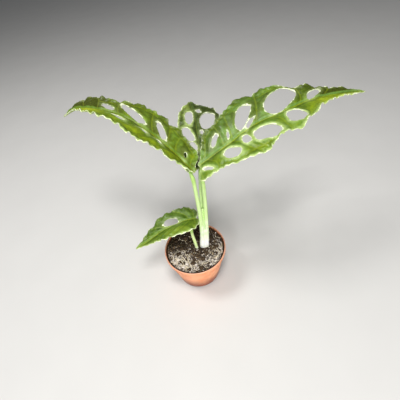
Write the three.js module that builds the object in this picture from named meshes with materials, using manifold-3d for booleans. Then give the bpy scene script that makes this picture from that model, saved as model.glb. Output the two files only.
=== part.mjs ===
// A young Monstera obliqua, Peru form, in a small nursery pot.
// Millimetres, +Z up. The pot's axis is the Z axis and its foot stands on z = 0.
import * as THREE from 'three';
import { mergeVertices } from 'three/addons/utils/BufferGeometryUtils.js';
import Module from 'manifold-3d';

const wasm = await Module();
wasm.setup();

// Driving dimensions

const GAP = 0.3; // clearance between pieces that touch

const POT = {
  height: 48,
  footRadius: 24.6,
  rimRadius: 35,
  rimBand: 4.5, // height of the thicker band under the lip
  rimStep: 0.8, // how far the band stands out
  wall: 1.2,
  floor: 1.8,
  footRounding: 3,
  floorRounding: 1.2, // inside, where the wall meets the floor
  facets: 48,
  drains: 6,
  drainRadius: 2.8,
  drainCircle: 15, // distance of the drain holes from the axis
};

const SOIL = {
  top: 45.5, // height of the surface at its edge
  dome: 1.2, // the middle stands this much higher
  relief: 0.7,
  rings: 6,
  lumps: 46, // perlite grains and bark chips
  lumpMin: 1.4,
  lumpMax: 2.8,
  lumpScale: [1.15, 0.95, 0.8],
  crowding: 0.42, // under 0.5 puts more lumps near the rim
  seed: 71,
  stalkHoleRadius: 2.5,
};

// The pale crown at the soil line, which carries the three long leaf stalks. It stands in
// the soil from foot to top, is buried wide below the surface and radius wide above it.
const CROWN = { x: 11.5, y: 2.2, foot: 26, top: 50, radius: 5.5, buried: 5.9, squash: 0.93, facets: 18 };

// Leaf stalks: the path of each centre line, and its radius at the foot and at the leaf.
const STALKS = {
  petiole_left: {
    path: [
      [8.8, 0, 50.3], [10.5, 0.5, 66], [11.9, 1.1, 91], [11.9, 1.6, 114], [11.4, 2, 138],
      [11.8, 1.9, 150],
    ],
    radii: [2.5, 1.8],
  },
  petiole_right: {
    path: [
      [14.1, 0.1, 50.3], [15.8, 1.1, 66], [17.6, 2.5, 90], [19.2, 4.4, 116], [19.9, 5.6, 138],
      [19.4, 5.9, 150],
    ],
    radii: [2.5, 1.9],
  },
  petiole_back: {
    path: [
      [11.5, 4.9, 50.3], [12.8, 6, 66], [14.6, 8, 90], [16.6, 10.6, 114], [18.2, 14, 130],
      [19.6, 17, 138],
    ],
    radii: [2.3, 1.8],
  },
  petiole_small: {
    path: [[2.1, -0.8, 33], [2.1, -0.6, 44], [1.1, 2, 56], [-0.1, 6, 66], [0.3, 10.8, 71]],
    radii: [1.95, 1.5],
  },
};

// Leaves. A flat leaf is laid out as (a, b): a runs along the midrib from the stalk and
// b to the left of it, seen from the stalk. fold is how steeply each half rises from the
// midrib in degrees, arch is its droop in degrees per millimetre, bank tilts both halves
// at the base, the middle and the tip, joint is where the stalk's end lies, and cell is the
// side of the triangles. A hole is [a, b, length, width, slant in degrees].
const LEAVES = {
  leaf_right: {
    spine: [
      [20, 6, 160], [47, 12, 171], [74, 21, 180], [103, 23, 187], [132, 31, 188], [161, 37, 184],
      [192, 45, 177],
    ],
    fold: [28, 8],
    arch: [0.9, 0.5],
    bank: [0, 0, 0],
    joint: 0,
    cell: 3.1,
    ruffle: { height: 1.0, length: 19, phase: 0.4 },
    margin: [
      [-2, 1.5], [2, 4], [7, 11], [11, 17], [16, 24], [24, 27], [34, 29], [46, 31.5], [57, 34],
      [64, 37.5], [69, 35.5], [76, 37.5], [88, 37.5], [99, 36], [108, 30], [115, 22], [123, 19.5],
      [130, 14.5], [151, 8.5], [168, 4], [185, 0], [160, -5], [143, -6.5], [127, -9.5], [115, -18],
      [104, -21], [96, -24], [88, -29.5], [78, -30], [62, -31.5], [47, -31.5], [36, -27],
      [24, -25.5], [15, -21.5], [6, -20], [-2, -21], [-8.5, -17], [-7, -12], [-2, -6], [-2, -1.5],
    ],
    holes: [
      [22, 10.9, 13, 4.6, 48], [35, 8.5, 7, 2.8, 57], [55.5, 15.6, 23, 11, 50],
      [62, 4.4, 9, 3.6, 24], [90, 13.2, 36, 19.5, 12], [122, 6.2, 17, 7, 24], [5, -12, 9, 3.8, -35],
      [30, -12.6, 16, 12, -27], [45, -8.5, 11, 7, 81], [64, -17, 29, 15.5, -18],
      [93, -12.2, 16.5, 13.5, 80],
    ],
  },
  leaf_left: {
    spine: [
      [12, 2, 158], [-4, 23, 171], [-23, 43, 184], [-45, 62, 193], [-68, 80, 194], [-90, 100, 188],
      [-112, 115, 175],
    ],
    fold: [20, 20],
    arch: [0.7, 0.5],
    bank: [18, 18, -14],
    joint: 0,
    cell: 3.4,
    ruffle: { height: 1.0, length: 14, phase: 1.1 },
    margin: [
      [-2, 1.5], [2, 6], [9, 8], [14, 12.5], [22, 15], [30, 15.5], [38, 19], [46, 24], [56, 26.5],
      [68, 26.5], [78, 24], [88, 26], [98, 23], [108, 18.5], [119, 15.5], [130, 10], [144, 7.5],
      [158, 3.5], [178, 0], [165, -4], [154, -9], [138, -15.5], [122, -18.5], [109, -18], [98, -20],
      [90, -26], [78, -28], [66, -27.5], [57, -28], [47, -23.5], [40, -26], [31, -22.5], [22, -19.5],
      [14, -18.5], [6, -14.5], [3, -7], [-2, -1.5],
    ],
    holes: [
      [16, -6.6, 6, 2.6, -39], [48, -10, 20, 6.4, -33], [80, -9.4, 31, 9, -18],
      [107, -6.2, 18, 5, -18], [84, 10.6, 13, 5.6, 3], [58, 6.4, 8, 3.2, -6], [41, 5, 7, 3, -9],
    ],
  },
  leaf_back: {
    spine: [[20, 19, 146], [24, 37, 155], [26, 57, 161], [28, 77, 163], [28, 98, 163], [28, 119, 162]],
    fold: [14, 14],
    arch: [0.8, 0.8],
    bank: [0, 0, 0],
    joint: 0,
    cell: 3.1,
    ruffle: { height: 1.2, length: 15, phase: 2.0 },
    margin: [
      [-2, 1.5], [-6, 6], [-4, 13], [6, 18], [20, 20.5], [34, 19], [46, 19.5], [64, 18.5],
      [78, 15.5], [88, 10.5], [95, 5.5], [104, 0], [98, -4], [90, -7], [84, -12], [77, -19],
      [68, -23.5], [60, -25.5], [49, -24], [40, -17], [30, -12.5], [18, -11.5], [8, -9.5], [1, -6],
      [-2, -1.5],
    ],
    holes: [
      [67, 6.4, 25, 8, -9], [39, 9.6, 19, 9.4, 12], [24, 5.2, 10, 5, 30], [76, -6.4, 9, 4, 20],
      [55, -13, 26, 15.5, -15], [39, -5, 6, 3, 6],
    ],
  },
  leaf_small: {
    spine: [[11, 17, 77], [-5, 16, 78], [-21, 15, 75], [-36, 13, 70], [-51, 9, 64], [-66, 7, 58]],
    fold: [20, 20],
    arch: [0.8, 0.8],
    bank: [0, 0, 0],
    joint: 10,
    cell: 2.9,
    ruffle: { height: 0.7, length: 11, phase: 0.2 },
    margin: [
      [8, 0.3], [4, 1.4], [1, 3.5], [0.5, 8], [4, 13.5], [10, 18], [16, 20], [26, 19.5], [36, 17.5],
      [44, 16], [52, 12], [61, 8], [70, 4.2], [81, 0], [70, -5], [60, -9.5], [51, -11.5],
      [45, -15.5], [38, -17.3], [28, -17.6], [18, -17.7], [10, -16], [4, -12.8], [0.5, -8.5],
      [1, -3.5], [4, -1.4], [8, -0.3],
    ],
    holes: [[31, -4.9, 18, 7.6, -12]],
  },
};

const BLADE = {
  thickness: 0.8,
  rib: 1.3, // extra depth of the midrib under the blade, at the stalk
  ribHalfWidth: 2,
  ruffleReach: 9, // how far in from the margin the waves reach
  calmHalfWidth: 12, // and how far from the midrib they are at their full height
  holeRoundness: 2.4, // 2 is an ellipse, more is squarer
};

const STALK_SIDES = 8;
const STALK_STEPS = 20;
const STALK_LAP = 7; // how far a stalk runs on under the midrib
const STALK_TIP = 0.8; // how much thinner its very end is

const COLOURS = {
  pot: ['#c0683c', 0.55],
  soil: ['#3a2a1d', 0.95],
  crown: ['#dfe8c4', 0.5],
  stalk: ['#b9d58a', 0.45],
  leaf: ['#6f9c2a', 0.4],
};

const DEG = Math.PI / 180;

// Small helpers

function material([colour, roughness]) {
  return new THREE.MeshStandardMaterial({ color: colour, roughness, metalness: 0 });
}

function named(name, geometry, colour, origin = [0, 0, 0]) {
  const mesh = new THREE.Mesh(geometry, material(colour));
  mesh.name = name;
  mesh.position.set(...origin);
  return mesh;
}

function closedGeometry(points, triangles) {
  const geometry = new THREE.BufferGeometry();
  geometry.setAttribute('position', new THREE.Float32BufferAttribute(points.flat(), 3));
  geometry.setIndex(triangles.flat());
  return geometry;
}

function toSolid(geometry) {
  const bare = geometry.clone();
  bare.deleteAttribute('normal');
  bare.deleteAttribute('uv');
  const merged = mergeVertices(bare, 1e-4);
  return new wasm.Manifold(new wasm.Mesh({
    numProp: 3,
    vertProperties: new Float32Array(merged.attributes.position.array),
    triVerts: new Uint32Array(merged.index.array),
  }));
}

function fromSolid(solid) {
  const mesh = solid.getMesh();
  const geometry = new THREE.BufferGeometry();
  geometry.setAttribute('position', new THREE.Float32BufferAttribute(mesh.vertProperties, 3));
  geometry.setIndex([...mesh.triVerts]);
  return geometry;
}

// Random numbers that come out alike on every run.
function randomFrom(seed) {
  let state = seed;
  return () => {
    state = (state * 1664525 + 1013904223) % 4294967296;
    return state / 4294967296;
  };
}

// A solid of revolution about Z from a profile of [radius, z] points.
function turned(profile, facets) {
  const points = profile.map(([r, z]) => new THREE.Vector2(r, z));
  return new THREE.LatheGeometry(points, facets).rotateX(Math.PI / 2);
}

function uprightCylinder(radius, bottom, top, x, y, sides) {
  const geometry = new THREE.CylinderGeometry(radius, radius, top - bottom, sides);
  return geometry.rotateX(Math.PI / 2).translate(x, y, (top + bottom) / 2);
}

// Pot

// Outer radius of the plain wall at height z.
function wallRadius(z) {
  const top = POT.rimRadius - POT.rimStep;
  return POT.footRadius + (top - POT.footRadius) * (z / POT.height);
}

function potGeometry() {
  const { height, rimRadius, rimBand, wall, floor, footRounding } = POT;
  const bandFoot = height - rimBand;
  const profile = [[0, 0]];
  for (let i = 0; i <= 3; i += 1) {
    const turn = (i / 3) * 75 * DEG;
    const r = wallRadius(footRounding) - footRounding * (1 - Math.sin(turn));
    profile.push([r, footRounding * (1 - Math.cos(turn))]);
  }
  profile.push([wallRadius(bandFoot), bandFoot]);
  profile.push([rimRadius - 0.1, bandFoot + 0.7]);
  profile.push([rimRadius, height - 0.5]);
  profile.push([rimRadius - 0.5, height]);
  profile.push([rimRadius - wall, height]);
  profile.push([rimRadius - wall - 0.4, height - 0.5]);
  profile.push([wallRadius(bandFoot) - wall, bandFoot - 1]);
  profile.push([wallRadius(footRounding) - wall, footRounding]);
  profile.push([wallRadius(footRounding) - wall - POT.floorRounding, floor]);
  profile.push([0, floor]);
  let pot = toSolid(turned(profile, POT.facets));
  for (let i = 0; i < POT.drains; i += 1) {
    const turn = (i / POT.drains) * 2 * Math.PI;
    const x = POT.drainCircle * Math.cos(turn);
    const y = POT.drainCircle * Math.sin(turn);
    pot = pot.subtract(toSolid(uprightCylinder(POT.drainRadius, -1, floor + 1, x, y, 16)));
  }
  return fromSolid(pot);
}

// Soil

function soilRadius(z) {
  return wallRadius(z) - POT.wall - GAP;
}

// Height of the soil surface above its edge.
function soilRelief(x, y) {
  const edge = Math.hypot(x, y) / soilRadius(SOIL.top);
  const waves = Math.sin(x * 0.42 + 1.3) * Math.cos(y * 0.37 - 0.4) + 0.5 * Math.sin(x * 0.9 - y * 0.7);
  return SOIL.dome * (1 - edge * edge) + (SOIL.relief * waves) / 1.5;
}

// Perlite grains and bark chips: [x, y, radius, turn], more of them towards the rim.
function lumpPlaces() {
  const random = randomFrom(SOIL.seed);
  const reach = soilRadius(SOIL.top) - SOIL.lumpMax - GAP;
  const [stalkX, stalkY] = STALKS.petiole_small.path[1];
  const places = [];
  for (let tries = 0; tries < 4000 && places.length < SOIL.lumps; tries += 1) {
    const r = reach * random() ** SOIL.crowding;
    const turn = random() * 2 * Math.PI;
    const size = SOIL.lumpMin + (SOIL.lumpMax - SOIL.lumpMin) * random() ** 1.6;
    const x = r * Math.cos(turn);
    const y = r * Math.sin(turn);
    const clearOfCrown = Math.hypot(x - CROWN.x, y - CROWN.y) > CROWN.buried + size + 1;
    const clearOfStalk = Math.hypot(x - stalkX, y - stalkY) > SOIL.stalkHoleRadius + size + 1;
    const clearOf = ([px, py, other]) => Math.hypot(x - px, y - py) > (other + size) * 0.9;
    const clearOfOthers = places.every(clearOf);
    if (clearOfCrown && clearOfStalk && clearOfOthers) places.push([x, y, size, turn * 5]);
  }
  return places;
}

function soilGeometry() {
  const { top, rings } = SOIL;
  const bottom = POT.floor + GAP;
  const footZ = POT.footRounding + GAP;
  const profile = [
    [0, bottom],
    [soilRadius(footZ) - POT.floorRounding, bottom],
    [soilRadius(footZ), footZ],
  ];
  const edge = soilRadius(top);
  for (let i = 0; i <= rings; i += 1) profile.push([edge * (1 - i / rings), top]);
  const body = turned(profile, POT.facets);
  const place = body.attributes.position;
  for (let i = 0; i < place.count; i += 1) {
    const x = place.getX(i);
    const y = place.getY(i);
    const inside = Math.hypot(x, y) < edge - 0.5;
    if (inside && place.getZ(i) > top - 0.5) place.setZ(i, top + soilRelief(x, y));
  }
  let soil = toSolid(body);
  for (const [x, y, size, turn] of lumpPlaces()) {
    const lump = new THREE.IcosahedronGeometry(size, 0);
    lump.rotateX(turn).rotateZ(turn * 1.7).scale(...SOIL.lumpScale);
    lump.translate(x, y, top + soilRelief(x, y) + size * 0.15);
    soil = soil.add(toSolid(lump));
  }
  const above = top + 9;
  const crownHole = uprightCylinder(CROWN.buried + GAP, CROWN.foot - GAP, above, 0, 0, CROWN.facets);
  crownHole.scale(1, CROWN.squash, 1).translate(CROWN.x, CROWN.y, 0);
  const [x, y, z] = STALKS.petiole_small.path[0];
  const stalkHole = uprightCylinder(SOIL.stalkHoleRadius, z - GAP, above, x, y, 16);
  return fromSolid(soil.subtract(toSolid(crownHole)).subtract(toSolid(stalkHole)));
}

// Crown and stalks

function crownGeometry() {
  const { foot, top, radius, buried } = CROWN;
  const profile = [
    [0, foot], [buried * 0.6, foot], [buried * 0.9, foot + 2.5], [buried, foot + 9],
    [buried, SOIL.top], [radius, top - 0.8], [radius - 0.4, top], [0, top],
  ];
  return turned(profile, CROWN.facets).scale(1, CROWN.squash, 1);
}

function curveThrough(points) {
  return new THREE.CatmullRomCurve3(points.map((p) => new THREE.Vector3(...p)), false, 'centripetal');
}

// A closed tube along a curve, with a radius that may change on the way.
function tube(curve, radiusAt, sides, steps) {
  const frames = curve.computeFrenetFrames(steps, false);
  const points = [];
  const triangles = [];
  for (let i = 0; i <= steps; i += 1) {
    const centre = curve.getPointAt(i / steps);
    for (let k = 0; k < sides; k += 1) {
      const turn = (k / sides) * 2 * Math.PI;
      const out = frames.normals[i].clone().multiplyScalar(Math.cos(turn));
      out.addScaledVector(frames.binormals[i], Math.sin(turn));
      points.push(centre.clone().addScaledVector(out, radiusAt(i / steps)).toArray());
    }
  }
  for (let i = 0; i < steps; i += 1) {
    for (let k = 0; k < sides; k += 1) {
      const p = i * sides + k;
      const q = i * sides + ((k + 1) % sides);
      triangles.push([p, q, q + sides], [p, q + sides, p + sides]);
    }
  }
  const last = steps * sides;
  for (let k = 1; k < sides - 1; k += 1) {
    triangles.push([0, k + 1, k], [last, last + k, last + k + 1]);
  }
  return closedGeometry(points, triangles);
}

// The stalk's own path, and then on under the midrib of its leaf for a short way.
function stalkCurve(stalk, leaf) {
  const shape = bladeShape(leaf);
  const points = [...stalk.path];
  for (const a of [leaf.joint + 1, leaf.joint + STALK_LAP]) {
    const { point, normal } = shape.surface(a, 0);
    const depth = BLADE.thickness / 2 + shape.rib(a, 0) + GAP + stalk.radii[1];
    points.push(point.addScaledVector(normal, -depth).toArray());
  }
  return curveThrough(points);
}

function stalkGeometry(stalk, leaf) {
  const [footRadius, leafRadius] = stalk.radii;
  const tipNarrowing = (t) => STALK_TIP * Math.max(0, 1 - (1 - t) / 0.04);
  const taper = (t) => footRadius + (leafRadius - footRadius) * t - tipNarrowing(t);
  return tube(stalkCurve(stalk, leaf), taper, STALK_SIDES, STALK_STEPS);
}

// Leaf blades

function smoothOutline(margin) {
  const points = margin.map(([a, b]) => new THREE.Vector3(a, b, 0));
  const curve = new THREE.CatmullRomCurve3(points, true, 'centripetal');
  return curve.getPoints(margin.length * 6).map((p) => [p.x, p.y]);
}

// Distance from (a, b) to a closed outline, positive inside it.
function depthInside(outline, a, b) {
  let nearest = Infinity;
  let inside = false;
  for (let i = 0, j = outline.length - 1; i < outline.length; j = i, i += 1) {
    const [ax, ay] = outline[i];
    const [bx, by] = outline[j];
    const length2 = (bx - ax) ** 2 + (by - ay) ** 2;
    const along = length2 ? ((a - ax) * (bx - ax) + (b - ay) * (by - ay)) / length2 : 0;
    const t = Math.min(1, Math.max(0, along));
    nearest = Math.min(nearest, Math.hypot(a - ax - t * (bx - ax), b - ay - t * (by - ay)));
    if (ay > b !== by > b && a < ((bx - ax) * (b - ay)) / (by - ay) + ax) inside = !inside;
  }
  return inside ? nearest : -nearest;
}

// Distance from (a, b) to a hole's edge, positive outside the hole.
function clearOfHole([holeA, holeB, length, width, slant], a, b) {
  const c = Math.cos(slant * DEG);
  const s = Math.sin(slant * DEG);
  const u = Math.abs((a - holeA) * c + (b - holeB) * s) / (length / 2);
  const v = Math.abs((b - holeB) * c - (a - holeA) * s) / (width / 2);
  const n = BLADE.holeRoundness;
  return ((u ** n + v ** n) ** (1 / n) - 1) * (width / 2);
}

// The folded, arched and waved surface of a leaf, with its outline and rib.
function bladeShape(leaf) {
  const spine = curveThrough(leaf.spine);
  const length = spine.getLength();
  const outline = smoothOutline(leaf.margin);
  const field = (a, b) => {
    const holes = leaf.holes.map((hole) => clearOfHole(hole, a, b));
    return Math.min(depthInside(outline, a, b), ...holes);
  };
  const rib = (a, b) => {
    const taper = 1 - (0.75 * Math.max(0, a)) / length;
    return BLADE.rib * taper * Math.exp(-((b / BLADE.ribHalfWidth) ** 2));
  };
  const bankAt = (t) => {
    const [base, middle, tip] = leaf.bank;
    return t < 0.5 ? base + (middle - base) * t * 2 : middle + (tip - middle) * (t * 2 - 1);
  };
  const at = (a, b) => {
    const t = Math.min(1, Math.max(0, a / length));
    const along = spine.getTangentAt(t);
    const middle = spine.getPointAt(t).addScaledVector(along, a - t * length);
    const across = new THREE.Vector3(0, 0, 1).cross(along).normalize();
    const up = along.clone().cross(across);
    const bank = bankAt(t) * DEG;
    across.applyAxisAngle(along, bank);
    up.applyAxisAngle(along, bank);
    const side = b < 0 ? 1 : 0;
    const rise = leaf.fold[side] * DEG;
    const bend = leaf.arch[side] * DEG;
    const turned = rise - bend * Math.abs(b);
    const out = ((Math.sin(rise) - Math.sin(turned)) / bend) * (side ? -1 : 1);
    const lift = (Math.cos(turned) - Math.cos(rise)) / bend;
    const edge = Math.exp((-2 * Math.max(0, depthInside(outline, a, b))) / BLADE.ruffleReach);
    const wave = Math.sin((2 * Math.PI * a) / leaf.ruffle.length + leaf.ruffle.phase + side);
    const awayFromRib = Math.min(1, Math.abs(b) / BLADE.calmHalfWidth);
    const ruffle = leaf.ruffle.height * wave * edge * awayFromRib;
    return middle.addScaledVector(across, out).addScaledVector(up, lift + ruffle);
  };
  const surface = (a, b) => {
    const step = 0.4;
    const du = at(a + step, b).sub(at(a - step, b));
    const dv = at(a, b + step).sub(at(a, b - step));
    return { point: at(a, b), normal: du.cross(dv).normalize() };
  };
  return { field, rib, surface, length };
}

// Where the field passes zero between two points of opposite sign.
function crossing(field, p, q) {
  let from = p;
  let to = q;
  for (let i = 0; i < 14; i += 1) {
    const half = [(from[0] + to[0]) / 2, (from[1] + to[1]) / 2];
    if (field(...half) > 0 === field(...from) > 0) from = half;
    else to = half;
  }
  return [(from[0] + to[0]) / 2, (from[1] + to[1]) / 2];
}

// Rows of even triangles over the leaf, with one row of corners along the midrib.
function evenTriangles(margin, cell) {
  const as = margin.map((p) => p[0]);
  const bs = margin.map((p) => p[1]);
  const rowHeight = cell * Math.sqrt(0.75);
  const start = Math.min(...as) - 2 * cell;
  const columns = Math.ceil((Math.max(...as) - start) / cell) + 2;
  const low = Math.floor(Math.min(...bs) / rowHeight) - 1;
  const high = Math.ceil(Math.max(...bs) / rowHeight) + 1;
  const points = [];
  for (let row = low; row <= high; row += 1) {
    const shift = row % 2 ? cell / 2 : 0;
    for (let i = 0; i <= columns; i += 1) points.push([start + i * cell + shift, row * rowHeight]);
  }
  const triangles = [];
  for (let row = 0; row < high - low; row += 1) {
    const odd = (row + low) % 2 !== 0;
    for (let i = 0; i < columns; i += 1) {
      const p = row * (columns + 1) + i;
      const above = p + columns + 1;
      if (odd) triangles.push([p, above + 1, above], [p, p + 1, above + 1]);
      else triangles.push([p, p + 1, above], [p + 1, above + 1, above]);
    }
  }
  return { points, triangles };
}

// Corners that lie close to an edge of the leaf are moved onto it, so no sliver is left.
function snapToEdge(points, triangles, field, values, reach) {
  const best = new Map();
  const offer = (corner, place) => {
    const distance = Math.hypot(place[0] - points[corner][0], place[1] - points[corner][1]);
    if (!best.has(corner) || best.get(corner).distance > distance) best.set(corner, { place, distance });
  };
  for (const triangle of triangles) {
    for (let k = 0; k < 3; k += 1) {
      const p = triangle[k];
      const q = triangle[(k + 1) % 3];
      if (p < q && values[p] > 0 !== values[q] > 0) {
        const place = crossing(field, points[p], points[q]);
        offer(p, place);
        offer(q, place);
      }
    }
  }
  for (const [corner, { place, distance }] of best) {
    if (distance < reach) {
      points[corner] = place;
      values[corner] = 0;
    }
  }
}

// The triangles that lie inside the field, cut along its edge.
function clippedTriangles(points, triangles, field, values) {
  const cuts = new Map();
  const cutBetween = (p, q) => {
    const key = p < q ? `${p}_${q}` : `${q}_${p}`;
    if (!cuts.has(key)) {
      points.push(crossing(field, points[p], points[q]));
      values.push(0);
      cuts.set(key, points.length - 1);
    }
    return cuts.get(key);
  };
  const kept = [];
  const span = (p, q) => Math.hypot(points[p][0] - points[q][0], points[p][1] - points[q][1]);
  for (const triangle of triangles) {
    const middle = [0, 1].map((axis) => triangle.reduce((sum, p) => sum + points[p][axis] / 3, 0));
    const signs = triangle.map((p) => Math.sign(values[p]));
    const inside = signs.includes(1) || (!signs.includes(-1) && field(...middle) > 0);
    if (inside) {
      const corners = [];
      for (let k = 0; k < 3; k += 1) {
        const next = (k + 1) % 3;
        if (signs[k] >= 0) corners.push(triangle[k]);
        if (signs[k] * signs[next] < 0) corners.push(cutBetween(triangle[k], triangle[next]));
      }
      const [p, q, r, s] = corners;
      if (corners.length === 3) kept.push([p, q, r]);
      else if (span(p, r) < span(q, s)) kept.push([p, q, r], [p, r, s]);
      else kept.push([q, r, s], [q, s, p]);
    }
  }
  return kept;
}

// Triangles in groups that share edges, at one corner or over the whole leaf.
function edgeGroups(triangles) {
  const group = triangles.map((_, i) => i);
  const root = (i) => (group[i] === i ? i : root(group[i]));
  const owner = new Map();
  triangles.forEach((triangle, i) => {
    for (let k = 0; k < 3; k += 1) {
      const p = triangle[k];
      const q = triangle[(k + 1) % 3];
      const key = p < q ? `${p}_${q}` : `${q}_${p}`;
      if (owner.has(key)) group[root(i)] = root(owner.get(key));
      else owner.set(key, i);
    }
  });
  const groups = new Map();
  triangles.forEach((triangle, i) => {
    if (!groups.has(root(i))) groups.set(root(i), []);
    groups.get(root(i)).push(triangle);
  });
  return [...groups.values()].sort((x, y) => y.length - x.length);
}

// The one connected blade, with no two parts of it that meet only at a corner.
function onePiece(triangles) {
  let kept = edgeGroups(triangles)[0];
  for (;;) {
    const fans = new Map();
    kept.forEach((triangle) => triangle.forEach((p) => fans.set(p, [...(fans.get(p) ?? []), triangle])));
    const dropped = new Set();
    for (const fan of fans.values()) {
      for (const triangle of edgeGroups(fan).slice(1).flat()) dropped.add(triangle);
    }
    if (!dropped.size) return kept;
    kept = edgeGroups(kept.filter((triangle) => !dropped.has(triangle)))[0];
  }
}

function leafGeometry(leaf) {
  const { field, rib, surface } = bladeShape(leaf);
  const { points, triangles } = evenTriangles(leaf.margin, leaf.cell);
  const values = points.map(([a, b]) => field(a, b));
  snapToEdge(points, triangles, field, values, leaf.cell * 0.32);
  const blade = onePiece(clippedTriangles(points, triangles, field, values));
  const used = [...new Set(blade.flat())];
  const order = new Map(used.map((p, i) => [p, i]));
  const base = new THREE.Vector3(...leaf.spine[0]);
  const upper = [];
  const lower = [];
  for (const p of used) {
    const [a, b] = points[p];
    const { point, normal } = surface(a, b);
    point.sub(base);
    upper.push(point.clone().addScaledVector(normal, BLADE.thickness / 2).toArray());
    lower.push(point.clone().addScaledVector(normal, -BLADE.thickness / 2 - rib(a, b)).toArray());
  }
  const count = used.length;
  const faces = blade.map((triangle) => triangle.map((p) => order.get(p)));
  const open = new Map();
  for (const [p, q, r] of faces) {
    for (const [from, to] of [[p, q], [q, r], [r, p]]) {
      if (open.has(`${to}_${from}`)) open.delete(`${to}_${from}`);
      else open.set(`${from}_${to}`, [from, to]);
    }
  }
  const solid = faces.flatMap(([p, q, r]) => [[p, q, r], [p + count, r + count, q + count]]);
  for (const [p, q] of open.values()) solid.push([q, p, p + count], [q, p + count, q + count]);
  return closedGeometry([...upper, ...lower], solid);
}

// Assembly

const plant = new THREE.Group();
plant.add(named('pot', potGeometry(), COLOURS.pot));
plant.add(named('soil', soilGeometry(), COLOURS.soil));
plant.add(named('crown', crownGeometry(), COLOURS.crown, [CROWN.x, CROWN.y, 0]));
for (const side of ['left', 'right', 'back', 'small']) {
  const leaf = LEAVES[`leaf_${side}`];
  plant.add(named(`petiole_${side}`, stalkGeometry(STALKS[`petiole_${side}`], leaf), COLOURS.stalk));
  plant.add(named(`leaf_${side}`, leafGeometry(leaf), COLOURS.leaf, leaf.spine[0]));
}

export default plant;
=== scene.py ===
# A young Monstera obliqua, Peru form, in a 70 mm nursery pot.
# It is a lesson in cells: each step says what the real thing is, then makes it.

# %% [markdown]
# The imported CAD model is loaded first, as a fixed frame. Every piece made below stands in for
# one of its nodes and stays where that node is. The box of the CAD model is kept.

# %% Frame
import math

import bmesh
import bpy
import numpy as np
from mathutils import Matrix, Vector


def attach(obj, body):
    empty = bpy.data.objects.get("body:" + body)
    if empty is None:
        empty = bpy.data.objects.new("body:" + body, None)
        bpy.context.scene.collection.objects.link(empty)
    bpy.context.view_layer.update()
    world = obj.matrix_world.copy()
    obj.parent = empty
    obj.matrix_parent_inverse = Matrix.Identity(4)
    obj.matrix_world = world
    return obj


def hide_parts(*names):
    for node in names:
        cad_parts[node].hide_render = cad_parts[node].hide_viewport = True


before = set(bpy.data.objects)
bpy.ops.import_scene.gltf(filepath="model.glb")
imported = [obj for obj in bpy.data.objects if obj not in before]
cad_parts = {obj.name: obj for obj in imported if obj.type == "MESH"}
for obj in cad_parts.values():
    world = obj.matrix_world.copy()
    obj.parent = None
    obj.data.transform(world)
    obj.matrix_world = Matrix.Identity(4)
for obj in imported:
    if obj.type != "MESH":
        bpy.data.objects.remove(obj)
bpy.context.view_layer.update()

# %% [markdown]
# All sizes below are in millimetres, because that is how a plant and a pot are measured.
# Blender works in metres, so one constant turns the finished points over.

# %% Units and the random rule
MM = 0.001


def random_from(seed):
    """The same run of numbers between 0 and 1 each time, as the CAD source draws them."""
    state = seed
    while True:
        state = (state * 1664525 + 1013904223) % 4294967296
        yield state / 4294967296


# %% [markdown]
# Leaves, stalks and outlines all follow smooth curves through a few measured points. A
# centripetal Catmull-Rom curve suits that: it passes through every point and doesn't
# overshoot where points stand close together. It is sampled by arc length, so that equal
# steps of the fraction are equal steps along the curve.

# %% Smooth curves
SAMPLES = np.linspace(0, 1, 201)  # where a curve is measured


class Path:
    def __init__(self, points, closed=False):
        self.points = np.array(points, float)
        self.closed = closed
        samples = self.point(SAMPLES)
        steps = np.linalg.norm(np.diff(samples, axis=0), axis=1)
        self.travelled = np.concatenate([[0], np.cumsum(steps)])
        self.length = self.travelled[-1]

    def point(self, t):
        """Points at the curve's own parameter t, 0 to 1."""
        pts, n = self.points, len(self.points)
        place = np.asarray(t, float) * (n if self.closed else n - 1)
        first = np.floor(place).astype(int)
        if not self.closed:
            first = np.clip(first, 0, n - 2)
        w = (place - first)[:, None]
        if self.closed:
            p0, p1, p2, p3 = (pts[(first + k) % n] for k in (-1, 0, 1, 2))
        else:
            before, after = 2 * pts[0] - pts[1], 2 * pts[-1] - pts[-2]
            wide = np.vstack([before, pts, after])
            p0, p1, p2, p3 = (wide[first + k] for k in (0, 1, 2, 3))
        d0, d1, d2 = (
            np.sqrt(np.linalg.norm(q - p, axis=1))[:, None]
            for p, q in ((p0, p1), (p1, p2), (p2, p3))
        )
        m1 = ((p1 - p0) / d0 - (p2 - p0) / (d0 + d1) + (p2 - p1) / d1) * d1
        m2 = ((p2 - p1) / d1 - (p3 - p1) / (d1 + d2) + (p3 - p2) / d2) * d1
        square = -3 * p1 + 3 * p2 - 2 * m1 - m2
        cube = 2 * p1 - 2 * p2 + m1 + m2
        return p1 + m1 * w + square * w**2 + cube * w**3

    def parameter(self, u):
        """The parameter at a fraction u of the length."""
        return np.interp(u * self.length, self.travelled, SAMPLES)

    def at(self, u):
        return self.point(self.parameter(np.atleast_1d(u)))

    def tangent(self, u):
        t = self.parameter(np.atleast_1d(u))
        step = 1e-4
        way = self.point(np.minimum(t + step, 1)) - self.point(np.maximum(t - step, 0))
        return way / np.linalg.norm(way, axis=1)[:, None]


# %% [markdown]
# Every mesh below comes out of arrays of corners and faces. This helper makes the object,
# with its place in its mesh, and stores what the materials read as attributes.

# %% From arrays to an object
def placed(name, data):
    made = bpy.data.objects.new(name, data)
    bpy.context.scene.collection.objects.link(made)
    return made


def solid(name, corners, faces, attributes=None):
    mesh = bpy.data.meshes.new(name)
    mesh.from_pydata((np.asarray(corners) * MM).tolist(), [], [tuple(f) for f in faces])
    for key, values in (attributes or {}).items():
        layer = mesh.attributes.new(key, "FLOAT", "POINT")
        layer.data.foreach_set("value", np.asarray(values, np.float32))
    mesh.shade_smooth()
    mesh.validate()
    return placed(name, mesh)


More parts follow.
